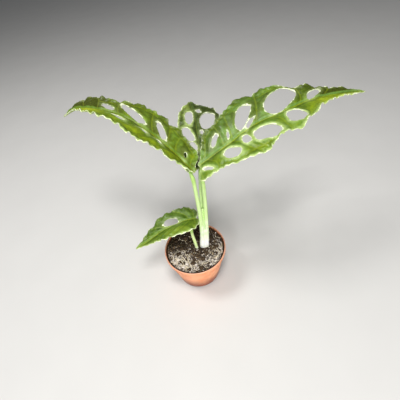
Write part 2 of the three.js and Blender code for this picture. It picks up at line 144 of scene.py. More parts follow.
def report(piece):
    size = [round(v / MM, 1) for v in piece.dimensions]
    triangles = sum(len(p.vertices) - 2 for p in piece.data.polygons)
    print(piece.name, "size in mm:", size, "triangles:", triangles)


# %% [markdown]
# A material is a small net of nodes. One function adds a node, sets what it has, and joins
# its inputs. Colours are written as sRGB hex, as they are picked from a paint chart, and one
# function turns them to the linear values that the shader works in.

# %% Nodes and colours
def linear(hex_colour):
    parts = [int(hex_colour[i : i + 2], 16) / 255 for i in (1, 3, 5)]
    return [p / 12.92 if p <= 0.04045 else ((p + 0.055) / 1.055) ** 2.4 for p in parts] + [1.0]


def add(tree, kind, inputs=None, **settings):
    """A new node with its settings, and its inputs set to values or joined to sockets."""
    made = tree.nodes.new(kind)
    for key, value in settings.items():
        setattr(made, key, value)
    for key, value in (inputs or {}).items():
        if isinstance(value, bpy.types.NodeSocket):
            tree.links.new(value, made.inputs[key])
        else:
            made.inputs[key].default_value = value
    return made


def math_of(tree, operation, a, b=0.0):
    return add(tree, "ShaderNodeMath", {0: a, 1: b}, operation=operation).outputs[0]


def vector_math(tree, operation, inputs):
    return add(tree, "ShaderNodeVectorMath", inputs, operation=operation)


# %% [markdown]
# Every finish below is such a net, and they share a few words: a stored attribute, noise of
# a real size in millimetres, a soft band that turns a value into a mask, and paint, which
# lays one more colour over what is there, where a mask says so.

# %% Words for materials
class Finish:
    """A material, and the colour and bumps that it has so far."""

    def __init__(self, name, base, **shader_values):
        self.material = bpy.data.materials.new(name)
        self.material.use_nodes = True
        self.tree = self.material.node_tree
        self.tree.nodes.clear()
        inputs = {key.replace("_", " "): value for key, value in shader_values.items()}
        self.shader = add(self.tree, "ShaderNodeBsdfPrincipled", inputs)
        add(self.tree, "ShaderNodeOutputMaterial", {"Surface": self.shader.outputs[0]})
        spot = add(self.tree, "ShaderNodeTexCoord").outputs["Object"]
        self.place_mm = vector_math(self.tree, "SCALE", {0: spot, 3: 1 / MM}).outputs[0]
        self.height = add(self.tree, "ShaderNodeSeparateXYZ", {0: self.place_mm}).outputs["Z"]
        self.colour, self.normal = linear(base), None

    def stored(self, name):
        return add(self.tree, "ShaderNodeAttribute", attribute_name=name).outputs["Fac"]

    def noise(self, size_mm, detail=3.0, stretch=(1, 1, 1), roughness=0.5):
        """Soft noise whose lumps are about size_mm across, 0 to 1."""
        mapped = add(self.tree, "ShaderNodeMapping", {"Vector": self.place_mm, "Scale": stretch})
        return add(self.tree, "ShaderNodeTexNoise", {
            "Vector": mapped.outputs[0], "Scale": 1 / size_mm, "Detail": detail,
            "Roughness": roughness}).outputs["Fac"]

    def band(self, value, low, high, out=(0, 1)):
        """value from low to high becomes out[0] to out[1], with a soft start and end."""
        return add(self.tree, "ShaderNodeMapRange", {
            "Value": value, "From Min": low, "From Max": high, "To Min": out[0],
            "To Max": out[1]}, interpolation_type="SMOOTHSTEP").outputs[0]

    def patches(self, size_mm, detail, low, high, out=(0, 1)):
        """Soft patches of about size_mm: noise from low to high becomes out[0] to out[1]."""
        return self.band(self.noise(size_mm, detail), low, high, out)

    def both(self, *masks):
        """High where all the masks are."""
        value = masks[0]
        for mask in masks[1:]:
            value = math_of(self.tree, "MULTIPLY", value, mask)
        return value

    def uneven(self, value, size_mm, detail, low, high, reach):
        """value, shifted by up to reach in patches of size_mm."""
        shift = self.patches(size_mm, detail, low, high, (-reach, reach))
        return math_of(self.tree, "ADD", value, shift)

    def paint(self, over, mask):
        """Lays one more colour over the rest, where the mask is high."""
        self.colour = add(self.tree, "ShaderNodeMix", {
            0: mask, 6: self.colour, 7: linear(over)},
            data_type="RGBA", blend_type="MIX").outputs[2]

    def bump(self, height, depth_mm, strength=1.0):
        """Raised by depth_mm where height runs from 0 to 1, on top of the bumps so far."""
        inputs = {"Height": height, "Distance": depth_mm * MM, "Strength": strength}
        if self.normal is not None:
            inputs["Normal"] = self.normal
        self.normal = add(self.tree, "ShaderNodeBump", inputs).outputs[0]

    def done(self, roughness=None):
        """Joins colour, normal and roughness to the shader, and gives the material."""
        sockets = {"Base Color": self.colour, "Normal": self.normal, "Roughness": roughness}
        for key, socket in sockets.items():
            if socket is not None:
                self.tree.links.new(socket, self.shader.inputs[key])
        return self.material


# %% [markdown]
# Next the leaves. A leaf is laid out flat as (a, b): a runs along the midrib from the stalk,
# b across it. The measured values say where its midrib goes in space, how steeply each half
# rises from it, and where its margin and its holes are. Monstera obliqua is known for its
# holes: they take up most of an adult blade. Each lies between two side veins, so the
# veins are listed too, as the paths that they take between the holes.

# %% Leaf values
LEAVES = {
    "leaf_right": dict(
        spine=[(20, 6, 160), (47, 12, 171), (74, 21, 180), (103, 23, 187), (132, 31, 188),
               (161, 37, 184), (192, 45, 177)],
        fold=(28, 8), arch=(0.9, 0.5), bank=(0, 0, 0), joint=0, ruffle=(1.0, 19, 0.4),
        margin=[(-2, 1.5), (2, 4), (7, 11), (11, 17), (16, 24), (24, 26), (34, 27.5),
                (42, 28.5), (48, 32), (55, 35), (61.5, 38), (69, 35.5), (76, 36.5), (84, 37),
                (96, 34), (103, 28), (108, 23.5), (113, 19.5), (118, 18), (123.5, 19.5),
                (128, 14), (134, 11.3), (151, 9), (168, 4.5), (185, 0), (160, -4.5),
                (145, -5.5), (130, -10.4), (119, -12.5), (110, -18.5), (98, -22), (92, -27),
                (88, -29.5), (83, -27.5), (77, -28.5), (69, -30.5), (58, -34), (50, -34),
                (42, -32), (36, -29.5), (31, -26), (24, -24.5), (16, -21.5), (12, -19.5),
                (6, -20), (-2, -21), (-8.5, -17), (-7, -12), (-2, -6), (-2, -1.5)],
        holes=[(23, 11.3, 13, 4.6, 36), (36, 7.4, 7, 2.2, 53), (55.8, 14, 24, 11.1, 51),
               (57.6, 4.2, 10.5, 3.6, 31), (91, 13.2, 37, 20, 18), (122.7, 5.6, 15.8, 6.2, 20),
               (4, -11.2, 8.4, 3.8, -42), (28, -12, 15, 11, -45), (44.6, -9.2, 10.6, 7, 84),
               (64, -17.2, 28.4, 16.2, -15), (92.6, -12.2, 16.5, 13.5, 85)],
        veins=[[(3, 0), (8, 5), (14, 15), (18, 23)], [(26, 0), (29, 9), (32, 26)],
               [(36, 0), (41, 12), (47, 28)], [(62, 0), (66, 7.5), (70, 20), (72, 34)],
               [(103, 0), (110, 5.5), (113, 21)],
               [(131, 0), (137, 5), (143, 9.5)], [(0, 0), (-3, -9), (-5, -17)],
               [(8, 0), (13, -9), (12, -20)], [(36, 0), (39.5, -8), (41, -20), (45, -30)],
               [(50, 0), (49.8, -9), (48.5, -18), (52, -30)],
               [(76, 0), (82, -8), (83, -20), (84, -28)], [(99, 0), (103, -8), (106, -19)],
               [(118, 0), (125, -6), (130, -9)],
               [(12, -15), (26, -21.5), (40, -24), (54, -27.5), (68, -28.5)],
               [(18, 20), (30, 24.5), (46, 27), (60, 30.5)],
               [(74, 27), (88, 29), (102, 27), (112, 17)],
               [(100, -19), (112, -13), (126, -6.5), (144, -3)]],
    ),
    "leaf_left": dict(
        spine=[(12, 2, 158), (-4, 23, 171), (-23, 43, 184), (-45, 62, 193), (-68, 80, 194),
               (-90, 100, 188), (-112, 115, 175)],
        fold=(20, 20), arch=(0.7, 0.5), bank=(18, 18, -14), joint=0, ruffle=(1.0, 14, 1.1),
        margin=[(-2, 1.5), (2, 6), (9, 8), (14, 12.5), (22, 15), (30, 15.5), (38, 19), (46, 24),
                (56, 26.5), (68, 26.5), (78, 24), (88, 26), (98, 23), (108, 18.5), (119, 15.5),
                (130, 10), (144, 7.5), (158, 3.5), (178, 0), (165, -4), (154, -9), (138, -15.5),
                (122, -18.5), (109, -18), (98, -20), (90, -26), (78, -28), (66, -27.5),
                (57, -28), (47, -23.5), (40, -26), (31, -22.5), (22, -19.5), (14, -18.5),
                (6, -14.5), (3, -7), (-2, -1.5)],
        holes=[(16, -6.4, 5.6, 2.2, -41), (48, -9.8, 20, 6.2, -32), (80, -9.4, 31.4, 8.4, -18),
               (107, -6.1, 17, 4.6, -15), (84.6, 9.6, 14, 5.4, -8), (57.6, 6.1, 8, 3, -6),
               (41, 4.4, 6.4, 2.8, -8)],
        veins=[[(4, 0), (9, -7), (12, -16)], [(22, 0), (29, -8), (33, -20)],
               [(34, 0), (39, -9), (46, -21)], [(50, 0), (58, -8), (64, -17), (68, -26)],
               [(90, 0), (97, -8), (100, -18)], [(117, 0), (122, -9), (128, -16)],
               [(137, 0), (143, -6), (148, -11)], [(8, 0), (16, 6), (24, 14)],
               [(27, 0), (33, 8), (40, 19)], [(46, 0), (50, 8), (56, 25)],
               [(64, 0), (69, 9), (75, 23)], [(88, 0), (95, 9), (99, 21)],
               [(108, 0), (114, 8), (120, 14)], [(128, 0), (134, 5), (140, 8)],
               [(10, -12), (26, -17.5), (40, -20), (54, -22.5)],
               [(62, -22.5), (78, -23), (92, -20), (108, -13), (124, -12)],
               [(18, 10), (36, 14), (52, 20.5), (68, 21)],
               [(74, 19), (90, 20.5), (106, 15), (124, 9.5), (142, 5)]],
    ),
    "leaf_back": dict(
        spine=[(20, 19, 146), (24, 37, 155), (26, 57, 161), (28, 77, 163), (28, 98, 163),
               (28, 119, 162)],
        fold=(14, 14), arch=(0.8, 0.8), bank=(0, 0, 0), joint=0, ruffle=(1.2, 15, 2.0),
        margin=[(-2, 1.5), (-6, 6), (-4, 13), (6, 18), (20, 20.5), (34, 19), (46, 19.5),
                (64, 18.5), (78, 15.5), (88, 10.5), (95, 5.5), (104, 0), (98, -4), (90, -7),
                (84, -12), (77, -19), (68, -23.5), (60, -25.5), (49, -24), (40, -17),
                (30, -12.5), (18, -11.5), (8, -9.5), (1, -6), (-2, -1.5)],
        holes=[(66.4, 6.2, 25, 8, -9), (38.6, 9.5, 19.6, 8.8, 18), (24, 5.1, 10, 4.9, 33),
               (75.4, -5.8, 8.2, 4.1, 18), (54.8, -12, 25.4, 15.2, -13), (39.2, -4.8, 5.4, 2.8, 0)],
        veins=[[(2, 0), (6, 8), (8, 17)], [(14, 0), (19, 9), (28, 19)],
               [(48, 0), (51, 8), (53, 18)], [(80, 0), (84, 5), (88, 9)],
               [(10, 0), (14, -6), (20, -11)], [(30, 0), (33.5, -7), (37, -15)],
               [(66, 0), (69.5, -8), (74, -18)], [(84, 0), (87, -5), (89, -8)]],
    ),
    "leaf_small": dict(
        spine=[(11, 17, 77), (-5, 16, 78), (-21, 15, 75), (-36, 13, 70), (-51, 9, 64),
               (-66, 7, 58)],
        fold=(20, 20), arch=(0.8, 0.8), bank=(0, 0, 0), joint=10, ruffle=(0.7, 11, 0.2),
        margin=[(2.6, 0.3), (1.4, 1.4), (0.3, 3.5), (0.5, 8), (4, 13.5), (10, 18), (16, 20),
                (26, 19.5), (36, 17.5), (44, 16), (52, 12), (61, 8), (70, 4.2), (81, 0),
                (70, -5), (60, -9.5), (51, -11.5), (45, -15.5), (38, -17.3), (28, -17.6),
                (18, -17.7), (10, -16), (4, -12.8), (0.5, -8.5), (0.3, -3.5), (1.4, -1.4),
                (2.6, -0.3)],
        holes=[(31.5, -4.7, 17.4, 7.5, -13)],
        veins=[[(6, 0), (6, 8), (10, 16)], [(10, 0), (20, 9), (34, 16)],
               [(20, 0), (34, 8), (48, 12.5)], [(34, 0), (48, 5.5), (60, 7.5)],
               [(50, 0), (60, 3), (70, 3.5)], [(6, 0), (5, -8), (8, -14)],
               [(10, 0), (16, -9), (26, -16.5)], [(38, 0), (45, -6), (54, -9.5)],
               [(53, 0), (60, -4), (68, -5)]],
    ),
}

# %% [markdown]
# The blade's own sizes. The CAD blade is 0.8 mm thick with a rib under it, and this one keeps
# that, but thins to a rounded edge. It adds what a closer look at the real leaf shows: the
# side veins lie sunk in the upper face and the blade swells between them, and the margin
# flutters in short waves on top of the long ones.

# %% Blade values
BLADE = dict(thickness=0.8, edge=0.34, edge_reach=0.7, rib=1.3, rib_half_width=2.0,
             rib_taper=0.75, ruffle_reach=9.0, calm_half_width=12.0, hole_roundness=2.4)
HOLE_WAVES = [(2, 0.055, 1), (3, 0.05, 2.3), (5, 0.025, 3.1)]  # lobes, depth and shift
SWELL = dict(height=1.4, level=0.45, vein_half_width=3.3, edge_calm=1.6, rib_calm=2.4)
GROOVE = dict(depth=0.3, half_width=0.9)  # along the midrib
FLUTTER = dict(height=0.75, length=7.3, lean=0.6, drift=1.9, drift_length=11.0)
CRINKLE = dict(height=0.22, length=3.4, lean=-0.8, drift=1.3, drift_length=5.0)
WAVES = dict(reach=4.0, calm_half_width=8.0)  # inwards from the margin, and by the midrib
CELL = 0.85  # side of the triangles


# %% [markdown]
# Distances do most of the work: how far a spot is inside the margin, how far it is from each
# hole, and how far from the nearest vein. All are worked out for many spots at once.

# %% Distances on the flat leaf
def nearest_segment(a, b, starts, ends):
    """Distance from each (a, b) to the nearest of the segments."""
    best = np.full(len(a), np.inf)
    for (x0, y0), (x1, y1) in zip(starts, ends):
        dx, dy = x1 - x0, y1 - y0
        length2 = max(dx * dx + dy * dy, 1e-12)
        t = np.clip(((a - x0) * dx + (b - y0) * dy) / length2, 0, 1)
        np.minimum(best, np.hypot(a - x0 - t * dx, b - y0 - t * dy), out=best)
    return best


def inside_outline(a, b, outline):
    inside = np.zeros(len(a), bool)
    for (x0, y0), (x1, y1) in zip(outline, np.roll(outline, 1, axis=0)):
        if y0 != y1:
            crosses = ((y0 > b) != (y1 > b)) & (a < (x1 - x0) * (b - y0) / (y1 - y0) + x0)
            inside ^= crosses
    return inside


def clear_of_hole(hole, a, b):
    at_a, at_b, length, width, slant = hole
    c, s = math.cos(math.radians(slant)), math.sin(math.radians(slant))
    u = ((a - at_a) * c + (b - at_b) * s) / (length / 2)
    v = ((b - at_b) * c - (a - at_a) * s) / (width / 2)
    n = BLADE["hole_roundness"]
    reach = (np.abs(u) ** n + np.abs(v) ** n) ** (1 / n)
    turn = np.arctan2(v, u)
    own = at_a * 1.7 + at_b  # makes every hole differ a little
    uneven = sum(depth * np.sin(lobes * turn + shift * own) for lobes, depth, shift in HOLE_WAVES)
    return (reach - 1 - uneven * np.minimum(1, reach)) * (width / 2)


# %% [markdown]
# One class holds a leaf's whole shape. Its surface method takes a spot of the flat leaf to
# its place in space: along the midrib, out to the side on an arc that starts at the fold,
# and up or down with the waves of the margin. It is the same rule as in the CAD source.

# %% The folded and waved surface
def short_waves(a, b, kind, shift=0):
    """Waves along the midrib that lean outwards and drift from an even beat."""
    turn = 2 * np.pi * (a + kind["lean"] * np.abs(b)) / kind["length"]
    drift = kind["drift"] * np.sin(a / kind["drift_length"] + shift)
    return kind["height"] * np.sin(turn + drift)


class Leaf:
    def __init__(self, values):
        self.values = values
        self.spine = Path(values["spine"])
        margin = [(a, b, 0) for a, b in values["margin"]]
        count = len(margin) * 6
        self.outline = Path(margin, closed=True).point(np.arange(count) / count)[:, :2]
        paths = [Path([(a, b, 0) for a, b in vein]).at(np.linspace(0, 1, 9))[:, :2]
                 for vein in values["veins"]]
        self.vein_starts = np.vstack([p[:-1] for p in paths])
        self.vein_ends = np.vstack([p[1:] for p in paths])

    def depth(self, a, b):
        """Distance to the margin, positive inside."""
        near = nearest_segment(a, b, self.outline, np.roll(self.outline, 1, axis=0))
        return np.where(inside_outline(a, b, self.outline), near, -near)

    def field(self, a, b):
        """Distance to the nearest edge, margin or hole, positive on the blade."""
        holes = [clear_of_hole(hole, a, b) for hole in self.values["holes"]]
        return np.minimum.reduce([self.depth(a, b), *holes])

    def vein_distance(self, a, b):
        return nearest_segment(a, b, self.vein_starts, self.vein_ends)

    def rib(self, a, b):
        taper = 1 - BLADE["rib_taper"] * np.maximum(0, a) / self.spine.length
        return BLADE["rib"] * taper * np.exp(-((b / BLADE["rib_half_width"]) ** 2))

    def fine_relief(self, a, b, field):
        """The swelling between veins and the short flutter of the margin."""
        vein = np.exp(-((self.vein_distance(a, b) / SWELL["vein_half_width"]) ** 2))
        calm = np.clip(field / SWELL["edge_calm"], 0, 1)
        calm = calm * np.clip(np.abs(b) / SWELL["rib_calm"], 0, 1)
        swell = SWELL["height"] * (SWELL["level"] - vein) * calm
        near_edge = np.exp(-np.maximum(self.depth(a, b), 0) / WAVES["reach"])
        waves = short_waves(a, b, FLUTTER, np.sign(b)) * near_edge
        waves = waves + short_waves(a, b, CRINKLE) * near_edge**2
        away = np.clip(np.abs(b) / WAVES["calm_half_width"], 0, 1)
        groove = GROOVE["depth"] * np.exp(-((b / GROOVE["half_width"]) ** 2))
        return swell + waves * away - groove

    def at(self, a, b):
        v, length = self.values, self.spine.length
        t = np.clip(a / length, 0, 1)
        along = self.spine.tangent(t)
        middle = self.spine.at(t) + along * (a - t * length)[:, None]
        across = np.cross([0, 0, 1], along)
        across /= np.linalg.norm(across, axis=1)[:, None]
        up = np.cross(along, across)
        bank = np.radians(np.interp(t, [0, 0.5, 1], v["bank"]))[:, None]
        across, up = (across * np.cos(bank) + up * np.sin(bank),
                      up * np.cos(bank) - across * np.sin(bank))
        right = b < 0
        rise = np.radians(np.where(right, v["fold"][1], v["fold"][0]))
        bend = np.radians(np.where(right, v["arch"][1], v["arch"][0]))
        turned = rise - bend * np.abs(b)
        out = (np.sin(rise) - np.sin(turned)) / bend * np.where(right, -1, 1)
        lift = (np.cos(turned) - np.cos(rise)) / bend
        height, wavelength, phase = v["ruffle"]
        edge = np.exp(-2 * np.maximum(0, self.depth(a, b)) / BLADE["ruffle_reach"])
        wave = np.sin(2 * np.pi * a / wavelength + phase + right)
        calm = np.minimum(1, np.abs(b) / BLADE["calm_half_width"])
        lift = lift + height * wave * edge * calm
        return middle + across * out[:, None] + up * lift[:, None]

    def surface(self, a, b):
        """Points and the normals of the smooth sheet."""
        step = 0.4
        du = self.at(a + step, b) - self.at(a - step, b)
        dv = self.at(a, b + step) - self.at(a, b - step)
        normal = np.cross(du, dv)
        return self.at(a, b), normal / np.linalg.norm(normal, axis=1)[:, None]


SHAPES = {name: Leaf(values) for name, values in LEAVES.items()}
for name, leaf in SHAPES.items():
    print(name, "midrib length in mm:", round(leaf.spine.length, 1))

# %% [markdown]
# The blade is meshed from even triangles. Corners close to an edge slide onto it, and the
# triangles that still cross it are cut, so margins and holes come out smooth without any
# slivers. A Boolean could cut the holes too, but it leaves long thin faces that
# shade badly on a bent sheet.

# %% Triangles cut along the edges
def even_triangles(leaf, cell):
    low_a, low_b = np.min(leaf.outline, axis=0) - 2 * cell
    high_a, high_b = np.max(leaf.outline, axis=0) + 2 * cell
    row_height = cell * math.sqrt(0.75)
    rows = np.arange(math.floor(low_b / row_height), math.ceil(high_b / row_height) + 1)
    columns = math.ceil((high_a - low_a) / cell) + 2
    shift = np.where(rows % 2, cell / 2, 0)
    a = (low_a + np.arange(columns) * cell)[None, :] + shift[:, None]
    b = np.repeat(rows[:, None] * row_height, columns, axis=1)
    p = np.arange(len(rows) - 1)[:, None] * columns + np.arange(columns - 1)[None, :]
    around = np.stack([p, p + 1, p + columns + 1, p + columns], -1)
    odd = (rows[:-1] % 2 != 0)[:, None, None]
    first = np.where(odd, around[..., [0, 2, 3]], around[..., [0, 1, 3]])
    second = np.where(odd, around[..., [0, 1, 2]], around[..., [1, 2, 3]])
    triangles = np.vstack([first.reshape(-1, 3), second.reshape(-1, 3)])
    return np.stack([a.ravel(), b.ravel()], -1), triangles


def crossings(leaf, start, end):
    """Where the field passes zero between pairs of spots of opposite sign."""
    start, end = start.copy(), end.copy()
    positive = leaf.field(*start.T) > 0
    for _ in range(12):
        half = (start + end) / 2
        same = (leaf.field(*half.T) > 0) == positive
        start[same] = half[same]
        end[~same] = half[~same]
    return (start + end) / 2


# %% [markdown]
# Corners nearer to an edge than a third of a cell are moved onto it first. What is left to
# cut then has fair proportions.

# %% Blade in the flat
def sides_of(triangles):
    return np.vstack([triangles[:, [0, 1]], triangles[:, [1, 2]], triangles[:, [2, 0]]])


def flat_blade(leaf, cell, snap=0.32):
    spots, triangles = even_triangles(leaf, cell)
    values = leaf.field(*spots.T)
    keep = (values[triangles] > -2 * cell).any(axis=1)
    triangles = triangles[keep]
    edges = np.unique(np.sort(sides_of(triangles), axis=1), axis=0)
    mixed = edges[(values[edges[:, 0]] > 0) != (values[edges[:, 1]] > 0)]
    places = crossings(leaf, spots[mixed[:, 0]], spots[mixed[:, 1]])
    best = {}
    for (p, q), place in zip(mixed, places):
        for corner in (int(p), int(q)):
            gap = math.dist(spots[corner], place)
            if gap < snap * cell and gap < best.get(corner, (math.inf,))[0]:
                best[corner] = (gap, place)
    for corner, (_, place) in best.items():
        spots[corner] = place
        values[corner] = 0
    cuts = [(int(p), int(q)) for p, q in mixed if values[p] * values[q] < 0]
    order = {pair: len(spots) + i for i, pair in enumerate(cuts)}
    starts, ends = spots[np.array(cuts)].swapaxes(0, 1)
    spots = np.vstack([spots, crossings(leaf, starts, ends)])
    signs = np.sign(values)[triangles]
    kept = triangles[(signs >= 0).all(axis=1) & (signs > 0).any(axis=1)].tolist()
    on_edge = triangles[(signs == 0).all(axis=1)]
    middle = spots[on_edge].mean(axis=1)
    kept += on_edge[leaf.field(*middle.T) > 0].tolist()
    for tri, sign in zip(triangles, signs):
        if sign.max() > 0 and sign.min() < 0:
            corners = []
            for k in range(3):
                here, following = int(tri[k]), int(tri[(k + 1) % 3])
                if sign[k] >= 0:
                    corners.append(here)
                if sign[k] * sign[(k + 1) % 3] < 0:
                    corners.append(order[tuple(sorted((here, following)))])
            kept += [[corners[0], p, q] for p, q in zip(corners[1:], corners[2:])]
    return spots, np.array(kept)


# %% [markdown]
# The flat blade now gets its two faces and its wall. What the material needs is stored
# on the corners: the distance to the edge, to the nearest vein and to the midrib.

# %% Blade in space
def leaf_mesh(name):
    leaf = SHAPES[name]
    spots, faces = flat_blade(leaf, CELL)
    used, renumbered = np.unique(faces, return_inverse=True)
    faces = renumbered.reshape(-1, 3)
    a, b = spots[used].T
    field = np.maximum(leaf.field(a, b), 0)
    point, normal = leaf.surface(a, b)
    point = point + normal * leaf.fine_relief(a, b, field)[:, None]
    rounding = np.sqrt(1 - (1 - np.clip(field / BLADE["edge_reach"], 0, 1)) ** 2)
    half = BLADE["edge"] / 2 + (BLADE["thickness"] - BLADE["edge"]) / 2 * rounding
    upper = point + normal * half[:, None]
    lower = point - normal * (half + leaf.rib(a, b) * rounding)[:, None]
    n = len(used)
    pairs = {(int(p), int(q)) for p, q in sides_of(faces)}
    rim = [(p, q) for p, q in pairs if (q, p) not in pairs]
    walls = [(q, p, p + n, q + n) for p, q in sorted(rim)]
    back = (faces + n)[:, ::-1]
    corners = np.vstack([upper, lower])
    attributes = {"edge_mm": field, "vein_mm": leaf.vein_distance(a, b), "rib_mm": b,
                  "along_mm": a}
    attributes = {key: np.tile(values, 2) for key, values in attributes.items()}
    attributes["upper"] = np.repeat([1.0, 0.0], n)
    return solid(name, corners, faces.tolist() + back.tolist() + walls, attributes)


leaves = {name: leaf_mesh(name) for name in LEAVES}
for piece in leaves.values():
    report(piece)

# %% [markdown]
# The leaf's material. A living blade is a thin green layer under a clear waxy skin: the
# colour comes from below, and the skin gives soft, broad highlights. Light and shade are also
# painted on. The half that faces the lamps is painted yellower and brighter, most of all
# towards the tip, with a pale painted sheen near its margin; the other half gets painted shade
# towards the tip and along its margin, and a pale painted sheen near the base. The veins are
# painted paler along their line, partly as painted highlight, with painted shade beside them.
# The midrib gets painted shade beside it on the brighter half, a painted highlight beside it
# on the other half and a painted highlight along it. The margin and the rims of the holes are
# pale healed edges, uneven in width, under a painted highlight that makes them almost white
# and is widest on the brighter half. The cells of the fine vein net are about 2.5 mm across.
# The blade is a little translucent, which the shader's subsurface gives.

# %% Living leaf
# Colours of the rims: a soft painted highlight, and a pale healed edge with a painted highlight
# over it.
LEAF_RIM_AND_HIGHLIGHT = dict(soft="#b4c878", healed_and_highlit="#eaefcc")
LEAF_UNDERSIDE = "#93a55c"
VEIN_NET_MM = 2.5


def living_leaf(name, blade, deep, young_and_lit_tone, painted_sheen, sunlit, lit_side, tip):
    """1 or -1 picks the half beside the midrib that gets painted light; the other gets painted
    shade.
    """
    leaf = Finish(name, blade, Roughness=0.4, IOR=1.36, Subsurface_Weight=0.05,
                  Subsurface_Radius=(0.6, 1.0, 0.2), Subsurface_Scale=0.001,
                  Coat_Weight=0.06, Coat_Roughness=0.22)
    band, patches, both, paint = leaf.band, leaf.patches, leaf.both, leaf.paint
    edge, vein, across, along = map(leaf.stored, ("edge_mm", "vein_mm", "rib_mm", "along_mm"))
    rib, side = math_of(leaf.tree, "ABSOLUTE", across), both(across, float(lit_side))
    bright_half, dark_half = band(side, 0.0, 3.0), band(side, -1.0, -4.0)
    outer = band(along, *tip)
    paint(deep, patches(15, 2, 0.42, 0.66, (0, 0.6)))
    paint(young_and_lit_tone, patches(8, 3, 0.5, 0.72, (0, 0.5)))
    # A pale painted sheen on the darker half near the base, in patches.
    paint(painted_sheen, both(dark_half, band(along, tip[0] * 0.6, tip[0], (1, 0.25)),
                      band(rib, 2.0, 7.0), patches(6, 4, 0.3, 0.62, (0.1, 0.9))))
    # Painted light: the brighter half is painted yellower, more so away from the midrib.
    paint(young_and_lit_tone, both(bright_half, band(rib, 1.0, 12.0, (0.1, 0.6)),
                      patches(11, 2, 0.35, 0.6)))
    # A pale painted sheen along the margin of the brighter half.
    paint(painted_sheen, both(bright_half, band(edge, 7.0, 1.0, (0, 0.6))))
    # Towards the tip: painted shade on the darker half, a painted highlight on the brighter half.
    paint(deep, both(outer, dark_half))
    paint(sunlit, both(outer, bright_half, 0.95))
    # Painted shade in patches along the margin of the darker half.
    paint(deep, both(dark_half, band(edge, 9.0, 1.0), patches(17, 1, 0.38, 0.55, (0, 0.75))))
    grain = leaf.noise(2.2, 4)
    paint(deep, band(grain, 0.5, 0.75, (0, 0.35)))
    paint(young_and_lit_tone, band(grain, 0.45, 0.25, (0, 0.3)))
    cells = add(leaf.tree, "ShaderNodeTexVoronoi", {
        "Vector": leaf.place_mm, "Scale": 1 / VEIN_NET_MM}, feature="DISTANCE_TO_EDGE")
    net = band(cells.outputs["Distance"], 0.0, 0.12, (1, 0))
    paint(young_and_lit_tone, both(net, 0.06))
    # The veins are painted paler along their line, partly as painted highlight, with painted shade
    # beside them.
    paint(deep, band(vein, 1.0, 3.0, (0.16, 0)))
    paint(sunlit, band(vein, 0.3, 1.0, (0.16, 0)))
    # By the midrib: painted shade beside it on the brighter half, a pale painted highlight beside
    # it on the darker half, and a painted highlight along it.
    paint(deep, both(bright_half, band(rib, 1.2, 4.5, (0.45, 0))))
    beside_rib = math_of(leaf.tree, "ABSOLUTE", math_of(leaf.tree, "ADD", side, 1.9))
    paint(painted_sheen, band(beside_rib, 0.4, 1.6, (0.75, 0)))
    paint(sunlit, band(rib, 0.4, 1.0, (0.35, 0)))
    # Pale healed rims with a painted highlight over them: a soft one, strongest on the brighter
    # half, and a thin, almost white one.
    rim = leaf.uneven(edge, 4, 2, 0.3, 0.7, 0.4)
    paint(LEAF_RIM_AND_HIGHLIGHT["soft"], both(band(rim, 0.3, 3.2, (0.7, 0)),
                                 band(side, -6.0, 6.0, (0.22, 1))))
    paint(LEAF_RIM_AND_HIGHLIGHT["healed_and_highlit"], both(band(rim, 0.2, 0.65, (1, 0)),
                                   patches(7, 2, 0.36, 0.6, (0.3, 1))))
    paint(LEAF_UNDERSIDE, band(leaf.stored("upper"), 0.4, 0.6, (0.5, 0)))
    leaf.bump(leaf.noise(4.5, 3), 0.8, 0.45)
    leaf.bump(leaf.noise(1.1, 2), 0.04)
    leaf.bump(net, 0.03, 0.8)
    return leaf.done(patches(3, 3, 0.3, 0.7, (0.32, 0.5)))


LEAF_FINISH = {
    "leaf_right": living_leaf("living leaf, right", "#557313", "#374105", "#899f17", "#698c3e",
                              "#a9bc26", -1, (104, 136)),
    "leaf_left": living_leaf("living leaf, left", "#607710", "#3e4606", "#8fa217", "#69892c",
                             "#abbc25", 1, (92, 126)),
    "leaf_back": living_leaf("living leaf, back", "#3b4b15", "#2b360a", "#576520", "#485c28",
                             "#768638", 1, (60, 95)),
    "leaf_small": living_leaf("living leaf, small", "#4c6a12", "#365007", "#94ab32", "#76933c",
                              "#b8ca38", 1, (60, 82)),
}
for name, piece in leaves.items():
    piece.data.materials.append(LEAF_FINISH[name])

# %% [markdown]
# Leaf stalks follow a path, so Geometry Nodes make them: a curve gets a radius along its
# way and a ring runs along it. The path itself goes from the crown up to the leaf and on
# under its midrib, by the same rule as in the CAD source.

# %% Stalk values
GAP = 0.3
STALK_LAP = 2.5  # how far a stalk runs on under the midrib
STALKS = {
    "petiole_left": dict(
        path=[(8.8, 0, 50.3), (10.5, 0.5, 66), (11.9, 1.1, 91), (11.9, 1.6, 114),
              (11.4, 2, 138), (10.9, 2.1, 149)], radii=(2.5, 1.8)),
    "petiole_right": dict(
        path=[(14.1, 0.1, 50.3), (15.8, 1.1, 66), (17.6, 2.5, 90), (19.2, 4.4, 116),
              (19.9, 5.6, 138), (19.4, 5.9, 150)], radii=(2.5, 1.9)),
    "petiole_back": dict(
        path=[(11.5, 4.9, 50.3), (12.8, 6, 66), (14.6, 8, 90), (16.6, 10.6, 114),
              (18.2, 14, 130), (19.6, 17, 138)], radii=(2.3, 1.8)),
    "petiole_small": dict(
        path=[(2.1, -0.8, 33), (2.1, -0.6, 44), (1.1, 2, 56), (-0.1, 6, 66),
              (0.3, 10.8, 71)], radii=(1.95, 1.5)),
}


